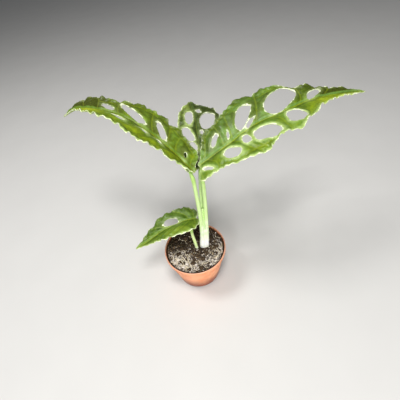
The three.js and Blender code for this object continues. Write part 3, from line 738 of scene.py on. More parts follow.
def stalk_path(name):
    values = STALKS[name]
    leaf = SHAPES[name.replace("petiole", "leaf")]
    points = [np.array(p, float) for p in values["path"]]
    for a in (leaf.values["joint"] + 1.0, leaf.values["joint"] + STALK_LAP):
        at_a, at_b = np.array([a]), np.array([0.0])
        point, normal = leaf.surface(at_a, at_b)
        depth = BLADE["thickness"] / 2 + leaf.rib(at_a, at_b)[0] + GAP + values["radii"][1]
        points.append(point[0] - normal[0] * depth)
    return Path(points)


# %% [markdown]
# What follows a path or repeats is grown by Geometry Nodes. These functions are the parts
# that several trees share: how a tree starts and ends, and how it is run on a mesh. Its
# inputs are set before it runs, and the result becomes a plain mesh.

# %% Words for Geometry Nodes
def new_tree(name, sizes):
    """A Geometry Nodes tree with a geometry in and out, and named number inputs."""
    tree = bpy.data.node_groups.new(name, "GeometryNodeTree")
    face = tree.interface
    face.new_socket("Geometry", in_out="INPUT", socket_type="NodeSocketGeometry")
    face.new_socket("Geometry", in_out="OUTPUT", socket_type="NodeSocketGeometry")
    for label, value in sizes.items():
        kind = "NodeSocketInt" if isinstance(value, int) else "NodeSocketFloat"
        face.new_socket(label, in_out="INPUT", socket_type=kind)
    return tree, add(tree, "NodeGroupInput"), add(tree, "NodeGroupOutput")


def end_tree(tree, end, geometry, material, smooth=True):
    """Shades, realizes and dresses the geometry, and gives it out."""
    shaded = add(tree, "GeometryNodeSetShadeSmooth", {
        "Geometry": geometry, "Shade Smooth": smooth})
    whole = add(tree, "GeometryNodeRealizeInstances", {"Geometry": shaded.outputs[0]})
    dressed = add(tree, "GeometryNodeSetMaterial", {
        "Geometry": whole.outputs[0], "Material": material})
    tree.links.new(dressed.outputs[0], end.inputs[0])


def number_stored(tree, name):
    return add(tree, "GeometryNodeInputNamedAttribute", {"Name": name},
               data_type="FLOAT").outputs["Attribute"]


def run_tree(name, tree, base, sizes):
    """Runs the tree on base with these sizes and gives the result as a plain mesh object."""
    modifier = base.modifiers.new("grow", "NODES")
    modifier.node_group = tree
    names = {item.name: item.identifier for item in tree.interface.items_tree
             if item.in_out == "INPUT"}
    for label, value in sizes.items():
        modifier[names[label]] = value
    base.update_tag()
    ready = base.evaluated_get(bpy.context.evaluated_depsgraph_get())
    mesh = bpy.data.meshes.new_from_object(ready)
    base.modifiers.remove(modifier)
    bpy.data.objects.remove(base)
    mesh.name = name
    made = placed(name, mesh)
    report(made)
    return made


# %% [markdown]
# The stalk's tree takes a line of corners with a stored radius, turns it to a curve, and
# sweeps a ring along it. The ring has a shallow groove, as monstera stalks do on their
# upper side.

# %% Geometry Nodes for a stalk
def stalk_tree(material):
    sizes = {"Ring steps": 20, "Groove depth": 0.16}
    tree, start, end = new_tree("stalk along a path", sizes)
    line = add(tree, "GeometryNodeMeshToCurve", {"Mesh": start.outputs["Geometry"]})
    ring = add(tree, "GeometryNodeCurvePrimitiveCircle", {
        "Resolution": start.outputs["Ring steps"], "Radius": 1.0}, mode="RADIUS")
    place = add(tree, "GeometryNodeInputPosition").outputs[0]
    parts = add(tree, "ShaderNodeSeparateXYZ", {0: place})
    depth = add(tree, "ShaderNodeMapRange", {
        "Value": parts.outputs["Y"], "From Min": 0.72, "From Max": 1.0,
        "To Min": 0.0, "To Max": start.outputs["Groove depth"]},
        interpolation_type="SMOOTHSTEP").outputs[0]
    inward = vector_math(tree, "SCALE", {0: place, 3: math_of(tree, "MULTIPLY", depth, -1.0)})
    grooved = add(tree, "GeometryNodeSetPosition", {
        "Geometry": ring.outputs["Curve"], "Offset": inward.outputs[0]})
    swept = add(tree, "GeometryNodeCurveToMesh", {
        "Curve": line.outputs[0], "Profile Curve": grooved.outputs[0],
        "Scale": number_stored(tree, "radius_m"), "Fill Caps": True})
    end_tree(tree, end, swept.outputs[0], material)
    return tree, sizes


def line_along(path, radius):
    """A line of corners along the path, one for each radius, which it stores."""
    count = len(radius)
    line = solid("line", path.at(np.linspace(0, 1, count)), [], {"radius_m": radius * MM})
    ends = np.stack([np.arange(count - 1), np.arange(1, count)], -1)
    line.data.edges.add(count - 1)
    line.data.edges.foreach_set("vertices", ends.astype(np.int32).ravel())
    return line


# %% [markdown]
# The stalk's finish: a firm, juicy stem under a thin waxy skin. It is nearly white where it
# leaves the soil and turns pale green higher up, with fine lengthwise streaks and small
# darker flecks of about 1 mm.

# %% Living stalk
def living_stalk(name, foot="#fdfcf4", stem="#c6e199", top="#a9cc6c", fade=(54, 92, 120, 158)):
    """fade holds the heights in mm where foot turns to stem and stem to top."""
    stalk = Finish(name, foot, Roughness=0.38, IOR=1.42, Subsurface_Weight=0.2,
                   Subsurface_Radius=(0.8, 1.0, 0.4), Subsurface_Scale=0.002,
                   Coat_Weight=0.15, Coat_Roughness=0.25)
    level = stalk.uneven(stalk.height, 12, 2, 0.3, 0.7, 9)
    stalk.paint(stem, stalk.band(level, *fade[:2]))
    stalk.paint(top, stalk.band(level, *fade[2:]))
    streak = stalk.noise(0.9, 3, stretch=(1, 1, 0.06))
    stalk.paint("#8fbb52", stalk.band(streak, 0.5, 0.72, (0, 0.35)))
    fleck = stalk.noise(1.1, 2, stretch=(1, 1, 0.4))
    stalk.paint("#7fa54a", stalk.band(fleck, 0.66, 0.74, (0, 0.4)))
    stalk.bump(streak, 0.12, 0.7)
    return stalk.done()


stalk_finish = living_stalk("living stalk")
small_finish = living_stalk("living stalk, small", foot="#eef0d4", stem="#cfe09e",
                            fade=(43, 56, 62, 84))
STALK_PATHS = {name: stalk_path(name) for name in STALKS}
KNEE = dict(height=0.25, from_leaf=9, width=5)  # the swollen joint below the leaf
STALK_TIP = dict(drop=0.8, share=0.04)  # the end thins over this share of the length
stalks = {}
for name, path in STALK_PATHS.items():
    u = np.linspace(0, 1, 91)
    foot_radius, leaf_radius = STALKS[name]["radii"]
    radius = foot_radius + (leaf_radius - foot_radius) * u
    knee = np.exp(-(((1 - u) * path.length - KNEE["from_leaf"]) / KNEE["width"]) ** 2)
    thinned = STALK_TIP["drop"] * np.clip(1 - (1 - u) / STALK_TIP["share"], 0, 1)
    line = line_along(path, radius + KNEE["height"] * knee - thinned)
    tree, sizes = stalk_tree(small_finish if name == "petiole_small" else stalk_finish)
    stalks[name] = run_tree(name, tree, line, sizes)

# %% [markdown]
# At the foot the three long stalks stand so close that the sheath of the oldest wraps the
# others, and they look like one pale stem. The sheath's skin is found level by level: in
# each direction from the middle, the farthest spot that is still inside the rounded
# union of the three circles. Up the stem the rounding fades, and the skin sinks into the
# stalks just where they part.

# %% Sheath around the stalks
SHEATH = dict(foot=50.0, top=104.0, sides=72, levels=60, blend=2.6, blend_fade=0.7,
              proud=0.22, sink=2.2, ripple=0.10, close_from=0.94, close_by=0.6)
CROWN = dict(x=11.5, y=2.2, foot=26.0, top=50.0, buried=5.9, squash=0.93, join_from=44.5)
LONG_STALKS = ["petiole_left", "petiole_right", "petiole_back"]
LOWEST_SLICE = 50.4  # the stalks start at this height


def stalk_slice(name, z):
    """Centre and radius of a stalk at height z."""
    path, (foot_radius, leaf_radius) = STALK_PATHS[name], STALKS[name]["radii"]
    u = np.linspace(0, 0.9, 400)
    points = path.at(u)
    k = int(np.argmin(np.abs(points[:, 2] - z)))
    slope = abs(path.tangent(u[k : k + 1])[0][2])
    return points[k, :2], (foot_radius + (leaf_radius - foot_radius) * u[k]) / slope


def bundle_outline(z, turns, blend, proud):
    """Radius of the stalks' rounded union in each direction from their middle."""
    slices = [stalk_slice(name, max(z, LOWEST_SLICE)) for name in LONG_STALKS]
    middle = np.mean([centre for centre, _ in slices], axis=0)
    reach = np.arange(0, 14, 0.04)
    outline = []
    for turn in turns:
        x = middle[0] + reach * math.cos(turn)
        y = middle[1] + reach * math.sin(turn)
        gaps = [np.hypot(x - cx, y - cy) - r for (cx, cy), r in slices]
        if blend > 0.05:
            joined = -blend * np.log(sum(np.exp(-g / blend * 3) for g in gaps)) / 3
        else:
            joined = np.minimum.reduce(gaps)
        inside = np.nonzero(joined - proud < 0)[0]
        outline.append(reach[inside[-1]] if len(inside) else 0.5)
    return middle, np.array(outline)


# %% [markdown]
# The sheath, the crown, the pot and the soil are all skins over rings of corners. These
# functions make a ring at a height and join the rings, from the lowest up.

# %% Skins over rings
def ring_at(z, radius, turns, centre=(0, 0)):
    return np.stack([centre[0] + radius * np.cos(turns), centre[1] + radius * np.sin(turns),
                     np.full(len(turns), z)], -1)


def full_turn(sides):
    return np.linspace(0, 2 * np.pi, sides, endpoint=False)


def lofted(rings, closed_foot=True, closed_top=True):
    """Faces between rings of corners, with its ends closed."""
    sides = len(rings[0])
    faces = []
    for i in range(len(rings) - 1):
        for k in range(sides):
            p, q = i * sides + k, i * sides + (k + 1) % sides
            faces.append((p, q, q + sides, p + sides))
    if closed_foot:
        faces.append(tuple(range(sides - 1, -1, -1)))
    if closed_top:
        last = (len(rings) - 1) * sides
        faces.append(tuple(last + k for k in range(sides)))
    return np.vstack(rings), faces


# %% [markdown]
# The sheath's own rings. A fine ripple runs up its foot, and the topmost rings close in, so
# that no edge stands out from the stalks.

# %% Sheath skin
turns = full_turn(SHEATH["sides"])
rings = []
for z in np.linspace(SHEATH["foot"] - 0.4, SHEATH["top"], SHEATH["levels"]):
    t = np.clip((z - SHEATH["foot"]) / (SHEATH["top"] - SHEATH["foot"]), 0, 1)
    middle, outline = bundle_outline(z, turns, SHEATH["blend"] * (1 - t) ** SHEATH["blend_fade"],
                                     SHEATH["proud"] * (1 - SHEATH["sink"] * t))
    ripple = SHEATH["ripple"] * np.sin(turns * 9 + z * 0.05) * (1 - t)
    closing = np.clip((t - SHEATH["close_from"]) / (1 - SHEATH["close_from"]), 0, 1) ** 2
    rings.append(ring_at(z, (outline + ripple) * (1 - SHEATH["close_by"] * closing), turns, middle))
sheath = solid("sheath", *lofted(rings))
sheath.data.materials.append(stalk_finish)
report(sheath)

# %% [markdown]
# The crown is the short, buried stem that carries the stalks. Its top takes the sheath's
# outline, so the two run into each other, and below it swells to its own oval shape. A few
# scars of old leaves ring it.

# %% Crown
crown_finish = living_stalk("pale crown of the plant", foot="#f3f0e2", stem="#eceedb",
                            top="#dfe8c4", fade=(36, 50, 60, 90))
SCARS = [(0.12, 2.1, 0), (0.06, 5.3, 1)]  # height, pace and shift of their waves
SWELLING = {26: 0.6, 26.6: 0.72, 28.5: 0.9, 35: 1, 45.5: 1, 50: 0.965}  # share by height
rings = []
top_middle, top_outline = bundle_outline(SHEATH["foot"], turns, SHEATH["blend"],
                                         SHEATH["proud"])
for z in np.linspace(CROWN["foot"], CROWN["top"], 40):
    radius = CROWN["buried"] * np.interp(z, list(SWELLING), list(SWELLING.values()))
    scar = sum(high * math.sin(z * pace + shift) for high, pace, shift in SCARS)
    oval = (radius + scar) / np.sqrt(np.cos(turns) ** 2 + (np.sin(turns) / CROWN["squash"]) ** 2)
    join = np.clip((z - CROWN["join_from"]) / (CROWN["top"] - CROWN["join_from"]), 0, 1) ** 1.5
    rings.append((1 - join) * ring_at(z, oval, turns, (CROWN["x"], CROWN["y"]))
                 + join * ring_at(z, top_outline, turns, top_middle))
crown = solid("crown", *lofted(rings))
crown.data.materials.append(crown_finish)
report(crown)

# %% [markdown]
# The pot is a thin injection-moulded nursery pot with a band round its rim. Its wall is one
# profile, with the sharp corners of the mould rounded to small radii.

# %% Pot values and profile
POT = dict(height=48.0, foot_radius=24.6, rim_radius=35.0, rim_band=4.5, rim_step=0.8,
           wall=1.2, floor=1.8, rounding=3.0, facets=144, drains=6,
           drain_radius=2.8, drain_circle=15.0, drain_facets=24)


def wall_radius(z):
    top = POT["rim_radius"] - POT["rim_step"]
    return POT["foot_radius"] + (top - POT["foot_radius"]) * z / POT["height"]


def arc(centre, radius, start, stop, steps):
    """Points of an arc in the profile, angles in degrees from outwards, turning up."""
    angles = np.radians(np.linspace(start, stop, steps + 1))
    return [(centre[0] + radius * math.cos(t), centre[1] + radius * math.sin(t))
            for t in angles]


def pot_profile():
    """(radius, height) from the middle of the foot, over the rim, to the inner floor."""
    height, rim, rounding = POT["height"], POT["rim_radius"], POT["rounding"]
    wall, floor, lip = POT["wall"], POT["floor"], POT["wall"] / 2
    band_foot = height - POT["rim_band"]
    foot_centre = (wall_radius(rounding) - rounding, rounding)
    profile = [(0, 0), (foot_centre[0] - 0.6, 0)]
    profile += arc(foot_centre, rounding, -90, -12, 8)
    profile += [(wall_radius(z), z) for z in np.linspace(5, band_foot, 8)]
    profile += [(wall_radius(band_foot) + 0.35, band_foot + 0.12), (rim - 0.25, band_foot + 0.4),
                (rim - 0.1, band_foot + 0.75), (rim - 0.03, height - 2)]
    profile += arc((rim - lip, height - lip), lip, 0, 180, 10)
    profile += [(rim - 1.45, height - 1.4), (rim - 1.8, height - 2.8),
                (wall_radius(band_foot) - 1.05, band_foot - 0.6),
                (wall_radius(band_foot - 1) - wall, band_foot - 1.5)]
    profile += [(wall_radius(z) - wall, z) for z in np.linspace(38, 3.4, 6)]
    return profile + [(wall_radius(3) - 1.55, floor + 0.5), (wall_radius(3) - 2.4, floor),
                      (0, floor)]


# %% [markdown]
# The profile is turned about the upright axis, and six pins are taken out of the floor.

# %% Turned and drilled
def lathe(profile, facets):
    """A closed shell turned about Z. The two end points lie on the axis."""
    rings = [ring_at(z, r, full_turn(facets)) for r, z in profile[1:-1]]
    corners, faces = lofted(rings, closed_foot=False, closed_top=False)
    first, last = len(corners), len(corners) + 1
    corners = np.vstack([corners, [[0, 0, profile[0][1]], [0, 0, profile[-1][1]]]])
    end = (len(rings) - 1) * facets
    for k in range(facets):
        faces.append((first, (k + 1) % facets, k))
        faces.append((last, end + k, end + (k + 1) % facets))
    return corners, faces


def drain_cutter():
    """The drain holes' pins, one after the other in one mesh."""
    corners, faces = [], []
    pin_turns = full_turn(POT["drain_facets"])
    for turn in full_turn(POT["drains"]):
        centre = (POT["drain_circle"] * math.cos(turn), POT["drain_circle"] * math.sin(turn))
        pin, sides = lofted([ring_at(z, POT["drain_radius"], pin_turns, centre) for z in (-1, 3)])
        faces += [tuple(v + len(corners) for v in side) for side in sides]
        corners += pin.tolist()
    return solid("drain_cutter", corners, faces)


pot = solid("pot", *lathe(pot_profile(), POT["facets"]))
cutter = drain_cutter()
boolean = pot.modifiers.new("drains", "BOOLEAN")
boolean.operation, boolean.object, boolean.solver = "DIFFERENCE", cutter, "EXACT"
ready = pot.evaluated_get(bpy.context.evaluated_depsgraph_get())
drilled = bpy.data.meshes.new_from_object(ready)
pot.modifiers.remove(boolean)
pot.data = drilled
bpy.data.objects.remove(cutter)
pot.data.set_sharp_from_angle(angle=math.radians(42))
report(pot)

# %% [markdown]
# The pot's finish is polypropylene, coloured through in a terracotta tone and moulded
# against a fine satin texture. It has soft, wide highlights. Handling leaves faint scuffs.
# The lower wall gets painted shade, deepest at the foot, the lip a pale painted highlight,
# and the inside is painted dark up to an uneven line just under the lip.

# %% Moulded polypropylene
WALL_SLOPE = (wall_radius(POT["height"]) - wall_radius(0)) / POT["height"]


def moulded_polypropylene():
    shell = Finish("moulded polypropylene, terracotta", "#eea272", Roughness=0.42, IOR=1.49,
                   Subsurface_Weight=0.08, Subsurface_Radius=(1.0, 0.4, 0.2),
                   Subsurface_Scale=0.001)
    tree, height, band, patches = shell.tree, shell.height, shell.band, shell.patches
    shell.paint("#e38c5a", patches(14, 3, 0.35, 0.7))
    # Painted shade on the lower wall, deepest at the foot and fading out about 27 mm up.
    foot_shade_level = shell.uneven(height, 8, 3, 0.3, 0.7, 2.5)
    shell.paint("#7e371b", band(foot_shade_level, 3.0, 27.0, (0.95, 0)))
    # A pale painted highlight along the lip.
    shell.paint("#e3a88c", band(height, 46.9, 47.8, (0, 0.8)))
    # The inside of the wall, found from its distance to the axis, is painted dark up to an uneven
    # line just under the lip.
    flat = vector_math(tree, "MULTIPLY", {0: shell.place_mm, 1: (1, 1, 0)})
    across = vector_math(tree, "LENGTH", {0: flat.outputs[0]}).outputs["Value"]
    lean = math_of(tree, "MULTIPLY", height, WALL_SLOPE)
    at_foot = math_of(tree, "SUBTRACT", across, lean)  # the same all the way up the wall
    inner = math_of(tree, "LESS_THAN", at_foot, band(height, 42.5, 44.0, (24.0, 24.75)))
    line = shell.uneven(height, 2.5, 3, 0.35, 0.65, 0.8)
    shell.paint("#3a2618", shell.both(inner, band(line, 45.8, 47.6, (0.92, 0.15))))
    shell.paint("#7a3a20", patches(0.8, 2, 0.72, 0.8, (0, 0.35)))
    shell.paint("#e0a283", patches(2.2, 4, 0.68, 0.82, (0, 0.3)))
    shell.bump(shell.noise(0.7, 2), 0.03)
    return shell.done(band(shell.noise(3, 4, stretch=(1, 1, 3)), 0.4, 0.75, (0.36, 0.52)))


pot.data.materials.clear()
pot.data.materials.append(moulded_polypropylene())

# %% [markdown]
# The soil is a loose mix of peat, coir, bark and perlite. Its body is turned like the pot's
# inside, and its upper face is a fine net of corners that follows the same low dome
# and waves as the CAD model, with crumbs of about 2 mm on top.

# %% Soil values and relief
SOIL = dict(foot=2.1, foot_slant=1.2, top=45.5, dome=1.2, relief=0.7, facets=240, lumps=46,
            lump_min=1.4, lump_max=2.8, lump_scale=(1.15, 0.95, 0.8), crowding=0.42, seed=71,
            stalk_hole=2.5)
CRUMB_WAVES = [(3.9, 0.42), (2.3, 0.3), (1.4, 0.2)]  # length and height
BARE = dict(rim=0.9, crown=6.6, stalk=2.6, below=43.5)  # where nothing loose lies
SMALL_STALK = STALKS["petiole_small"]["path"][1][:2]  # where it leaves the soil


def soil_radius(z):
    return wall_radius(z) - POT["wall"] - GAP


def soil_relief(x, y):
    edge = np.hypot(x, y) / soil_radius(SOIL["top"])
    waves = np.sin(x * 0.42 + 1.3) * np.cos(y * 0.37 - 0.4) + 0.5 * np.sin(x * 0.9 - y * 0.7)
    return SOIL["dome"] * (1 - edge * edge) + SOIL["relief"] * waves / 1.5


def crumbs(x, y):
    """Small uneven height, about 2 mm from lump to lump."""
    value = 0
    for k, (wave, height) in enumerate(CRUMB_WAVES):
        turn = 0.7 + 1.9 * k
        u = (x * math.cos(turn) + y * math.sin(turn)) * 2 * math.pi / wave
        v = (y * math.cos(turn) - x * math.sin(turn)) * 2 * math.pi / (wave * 1.13)
        value = value + height * np.sin(u + 1.3 * np.sin(v * 0.71)) * np.sin(
            v + 1.1 * np.cos(u * 0.63))
    return value


def away_from(place, x, y):
    return np.hypot(x - place[0], y - place[1])


# %% [markdown]
# Perlite lies in a few pale patches near the front of the rim, and the soil there is also
# painted paler, as painted light on the side nearest the lamps. The mask is stored on the
# soil's corners, and both the grains and the colour read it.

# %% Soil body
PERLITE_AND_LIT_PATCHES = [  # middle, reach in x and y, and weight
    (-21, -14, 11, 11, 1), (-8, -24, 9, 7, 0.9), (15, -22, 12, 6, 1), (26, -8, 5, 12, 0.7)]


def perlite_and_lit_mask(x, y):
    """0 to 1, most in the pale patches at the front and along the rim."""
    patches = (weight * np.exp(-(((x - at_x) / wide) ** 2 + ((y - at_y) / deep) ** 2))
               for at_x, at_y, wide, deep, weight in PERLITE_AND_LIT_PATCHES)
    return np.clip(sum(patches) + 0.06, 0, 1)


def soil_mesh(edge, ring_step):
    turns = full_turn(SOIL["facets"])
    slant = SOIL["foot_slant"]
    wall_foot = SOIL["foot"] + slant
    side = [(soil_radius(wall_foot) - slant, SOIL["foot"]), (soil_radius(wall_foot), wall_foot)]
    side += [(soil_radius(z), z) for z in np.linspace(8, 45.0, 8)]
    rings = [ring_at(z, r, turns) for r, z in side]
    ring_count = int(edge / ring_step)
    for i in range(ring_count):
        r = (edge - 0.05) * (1 - i / ring_count)
        x, y = r * np.cos(turns), r * np.sin(turns)
        calm = min(1.0, (edge - r) / 1.0 + 0.25)
        z = SOIL["top"] + soil_relief(x, y) * min(1, (edge - r) / 0.6) + crumbs(x, y) * calm
        rings.append(np.stack([x, y, z], -1))
    corners, faces = lofted(rings, closed_foot=True, closed_top=False)
    last = (len(rings) - 1) * SOIL["facets"]
    middle_top = np.array([[0, 0, SOIL["top"] + float(soil_relief(0, 0))]])
    corners = np.vstack([corners, middle_top])
    faces += [(len(corners) - 1, last + k, last + (k + 1) % SOIL["facets"])
              for k in range(SOIL["facets"])]
    return corners, faces


edge = soil_radius(SOIL["top"])
corners, faces = soil_mesh(edge, 0.62)
x, y, z = corners.T
pale = perlite_and_lit_mask(x, y)
open_soil = (z > BARE["below"]) & (np.hypot(x, y) < edge - BARE["rim"])
open_soil &= away_from((CROWN["x"], CROWN["y"]), x, y) > BARE["crown"]
open_soil &= away_from(SMALL_STALK, x, y) > BARE["stalk"]
soil = solid("soil", corners, faces, {"pale": pale, "loose": pale * open_soil,
                                      "open": open_soil.astype(float)})
report(soil)

# %% [markdown]
# Soil finishes. Peat is a matt, very dark brown with fibres in it. Perlite is blown volcanic
# glass: white, rough and full of pores. Bark is red-brown and flaky, and coir is a pale straw
# fibre. None of them shines, so all are rough.

# %% Peat, perlite, bark and coir
def crumbly(name, base, dark, light, size, roughness=0.92, depth=0.4):
    """A rough natural crumb: three tones in patches of size mm, with pits."""
    crumb = Finish(name, base, Roughness=roughness, IOR=1.4, Specular_IOR_Level=0.25)
    crumb.paint(dark, crumb.patches(size, 4, 0.5, 0.7))
    crumb.paint(light, crumb.patches(size * 0.55, 4, 0.58, 0.76, (0, 0.85)))
    crumb.bump(crumb.noise(size * 0.4, 4, roughness=0.65), depth, 0.9)
    return crumb


mix = crumbly("peat and coir mix", "#382b20", "#17110c", "#8a7864", 1.4)
# Pale specks in the patches: perlite dust, and painted light on the front of the soil.
mix.paint("#b5aca0", mix.both(mix.stored("pale"), mix.patches(1.3, 4, 0.45, 0.62)))
peat = mix.done()
perlite = crumbly("perlite", "#ded3c8", "#94877b", "#fbf7f2", 0.9).done()
bark = crumbly("composted bark", "#463829", "#1f160f", "#84705a", 1.3).done()
coir = crumbly("coir fibre", "#b59c78", "#7d6648", "#dccbb0", 2.0, depth=0.1).done()
root = crumbly("pale root", "#e2d6bd", "#b09a76", "#f3ecdc", 3.0, roughness=0.6,
               depth=0.1).done()
soil.data.materials.append(peat)

# %% [markdown]
# Loose grains and fibres repeat hundreds of times, so Geometry Nodes lay them. Their trees
# share these parts: spots scattered over the soil's upper face, thicker where a stored mask
# is high, a random turn and size, a copy on every spot, and a noise that pushes every copy
# out of shape in its own way.

# %% Words for scattering
def scattered(tree, start, label, mask_name):
    per_m2 = math_of(tree, "MULTIPLY", start.outputs[label], 1e4)
    return add(tree, "GeometryNodeDistributePointsOnFaces", {
        "Mesh": start.outputs["Geometry"],
        "Density": math_of(tree, "MULTIPLY", per_m2, number_stored(tree, mask_name)),
        "Seed": start.outputs["Seed"]}).outputs["Points"]


def random_turn(tree, start, tilt):
    """Any turn about Z, with a tilt of up to this many radians."""
    return add(tree, "FunctionNodeRandomValue", {
        0: (-tilt, -tilt, 0), 1: (tilt, tilt, 6.283), "Seed": start.outputs["Seed"]},
        data_type="FLOAT_VECTOR").outputs[0]


def random_number(tree, start, low, high):
    return add(tree, "FunctionNodeRandomValue", {
        2: low, 3: high, "Seed": start.outputs["Seed"]}, data_type="FLOAT").outputs[1]


def copies(tree, spots, shape, turn, size, noise_scale, push_m):
    """The shape on every spot, each copy bent by a noise by up to half of push_m."""
    laid = add(tree, "GeometryNodeInstanceOnPoints", {
        "Points": spots, "Instance": shape, "Rotation": turn, "Scale": size})
    whole = add(tree, "GeometryNodeRealizeInstances", {"Geometry": laid.outputs[0]})
    here = add(tree, "GeometryNodeInputPosition").outputs[0]
    rough = add(tree, "ShaderNodeTexNoise", {"Vector": here, "Scale": noise_scale, "Detail": 1.0})
    push = vector_math(tree, "SUBTRACT", {0: rough.outputs["Color"], 1: (0.5, 0.5, 0.5)})
    push = vector_math(tree, "SCALE", {0: push.outputs[0], 3: push_m})
    return add(tree, "GeometryNodeSetPosition", {
        "Geometry": whole.outputs[0], "Offset": push.outputs[0]}).outputs[0]


def over_soil(name, tree, standard, **sizes):
    """Runs a tree over a copy of the soil, with these sizes instead of its standard ones."""
    wanted = standard | {key.replace("_", " "): value for key, value in sizes.items()}
    return run_tree(name, tree, placed(name + "_base", soil.data.copy()), wanted)


# %% [markdown]
# A grain is a rough ball with few faces, stretched to the shape of its kind. Many are small
# and few are large.

# %% Geometry Nodes for grains
def grain_tree(material, mask_name, stretch):
    sizes = {"Grains per cm2": 10.0, "Smallest": 0.5, "Largest": 1.2, "Seed": 3}
    tree, start, end = new_tree("loose grains", sizes)
    spots = scattered(tree, start, "Grains per cm2", mask_name)
    ball = add(tree, "GeometryNodeMeshIcoSphere", {"Radius": MM, "Subdivisions": 1})
    here = add(tree, "GeometryNodeInputPosition").outputs[0]
    stretched = vector_math(tree, "MULTIPLY", {0: here, 1: stretch})
    shaped = add(tree, "GeometryNodeSetPosition", {
        "Geometry": ball.outputs["Mesh"], "Position": stretched.outputs[0]})
    mostly_small = math_of(tree, "POWER", random_number(tree, start, 0.0, 1.0), 2.2)
    size = add(tree, "ShaderNodeMapRange", {
        "Value": mostly_small, "To Min": start.outputs["Smallest"],
        "To Max": start.outputs["Largest"]})
    grains = copies(tree, spots, shaped.outputs[0], random_turn(tree, start, 0.5),
                    size.outputs[0], 900.0, 0.0016)
    end_tree(tree, end, grains, material, smooth=False)
    return tree, sizes


grains = [
    over_soil("perlite_grains", *grain_tree(perlite, "loose", (1.25, 0.9, 0.7)),
              Grains_per_cm2=130.0, Smallest=0.22, Largest=0.95, Seed=4),
    over_soil("peat_crumbs", *grain_tree(peat, "open", (1.2, 0.9, 0.7)),
              Grains_per_cm2=60.0, Smallest=0.3, Largest=1.1, Seed=9),
    over_soil("bark_chips", *grain_tree(bark, "open", (1.7, 0.8, 0.4)),
              Grains_per_cm2=9.0, Smallest=0.6, Largest=1.6, Seed=21),
]

# %% [markdown]
# The largest lumps are not scattered: they stand where the CAD model has them, drawn by
# the same rule, so the solids and the picture agree. Pale ones lie in the perlite patches
# and brown ones elsewhere.

# %% Lumps of the CAD model
def lump_places():
    draw = random_from(SOIL["seed"])
    reach = edge - SOIL["lump_max"] - GAP
    places = []
    for _ in range(4000):
        if len(places) == SOIL["lumps"]:
            break
        r = reach * next(draw) ** SOIL["crowding"]
        turn = next(draw) * 2 * math.pi
        size = SOIL["lump_min"] + (SOIL["lump_max"] - SOIL["lump_min"]) * next(draw) ** 1.6
        x, y = r * math.cos(turn), r * math.sin(turn)
        free = away_from((CROWN["x"], CROWN["y"]), x, y) > CROWN["buried"] + size + 1
        free &= away_from(SMALL_STALK, x, y) > SOIL["stalk_hole"] + size + 1
        free &= all(math.hypot(x - px, y - py) > (other + size) * 0.9
                    for px, py, other, _ in places)
        if free:
            places.append((x, y, size, turn * 5))
    return places


def lump_mesh(name, places, material):
    """Rough icospheres at the given places, joined to one mesh."""
    shape = bmesh.new()
    for x, y, size, turn in places:
        made = bmesh.ops.create_icosphere(shape, subdivisions=3, radius=1.0)["verts"]
        for vert in made:
            p = vert.co
            bulge = 1 + 0.16 * math.sin(4.1 * p.x + turn) * math.sin(3.7 * p.y + 2 * turn)
            bulge += 0.10 * math.sin(9.3 * p.z + turn) * math.cos(8.1 * p.x - turn)
            bulge += 0.06 * math.sin(17 * p.y + 3 * turn) * math.sin(15 * p.z + turn)
            vert.co = p * (size * 0.93 * bulge)
        place = Matrix.Translation((x, y, SOIL["top"] + float(soil_relief(x, y)) + size * 0.15))
        place = place @ Matrix.Diagonal((*SOIL["lump_scale"], 1))
        place = place @ Matrix.Rotation(turn * 1.7, 4, "Z") @ Matrix.Rotation(turn, 4, "X")
        bmesh.ops.transform(shape, matrix=Matrix.Scale(MM, 4) @ place, verts=made)
    mesh = bpy.data.meshes.new(name)
    shape.to_mesh(mesh)
    shape.free()
    mesh.shade_smooth()
    mesh.materials.append(material)
    piece = placed(name, mesh)
    report(piece)
    return piece


places = lump_places()
pale = [p for p in places if perlite_and_lit_mask(p[0], p[1]) > 0.6 and p[2] < 1.9]
brown = [p for p in places if p not in pale]
grains += [lump_mesh("perlite_lumps", pale, perlite), lump_mesh("bark_lumps", brown, bark)]
print("lumps:", len(pale), "pale and", len(brown), "brown")

# %% [markdown]
# Coir is coconut fibre: thin curly strands that lie loose on the mix. Each is a short curve
# with a swept ring, scattered and bent by the same kind of tree.

# %% Geometry Nodes for fibres
STRAND = {  # one strand's curve, in metres
    "Start": (-0.0032, 0, -0.0006), "Start Handle": (-0.0015, 0.003, 0.0014),
    "End Handle": (0.001, -0.0028, 0.0014), "End": (0.0034, 0.0004, -0.0005)}


def fibre_tree(material, mask_name):
    sizes = {"Fibres per cm2": 5.0, "Thickness": 0.15, "Seed": 5}
    tree, start, end = new_tree("loose fibres", sizes)
    spots = scattered(tree, start, "Fibres per cm2", mask_name)
    strand = add(tree, "GeometryNodeCurvePrimitiveBezierSegment", {"Resolution": 9, **STRAND})
    strands = copies(tree, spots, strand.outputs["Curve"], random_turn(tree, start, 0.25),
                     random_number(tree, start, 0.25, 0.85), 330.0, 0.003)
    ring = add(tree, "GeometryNodeCurvePrimitiveCircle", {
        "Resolution": 5, "Radius": math_of(tree, "MULTIPLY", start.outputs["Thickness"], MM)},
        mode="RADIUS")
    swept = add(tree, "GeometryNodeCurveToMesh", {
        "Curve": strands, "Profile Curve": ring.outputs["Curve"], "Fill Caps": True})
    end_tree(tree, end, swept.outputs[0], material)
    return tree, sizes


grains += [
    over_soil("coir_fibres", *fibre_tree(coir, "open")),
    over_soil("pale_fibres", *fibre_tree(root, "loose"), Fibres_per_cm2=26.0, Thickness=0.2,
              Seed=12),
]

# %% [markdown]
# A few strands can be told apart: one long pale root lies from the middle to the front rim,
# and some shorter ones cross it on the left. Each is listed point by point and swept by the
# stalk's own tree.

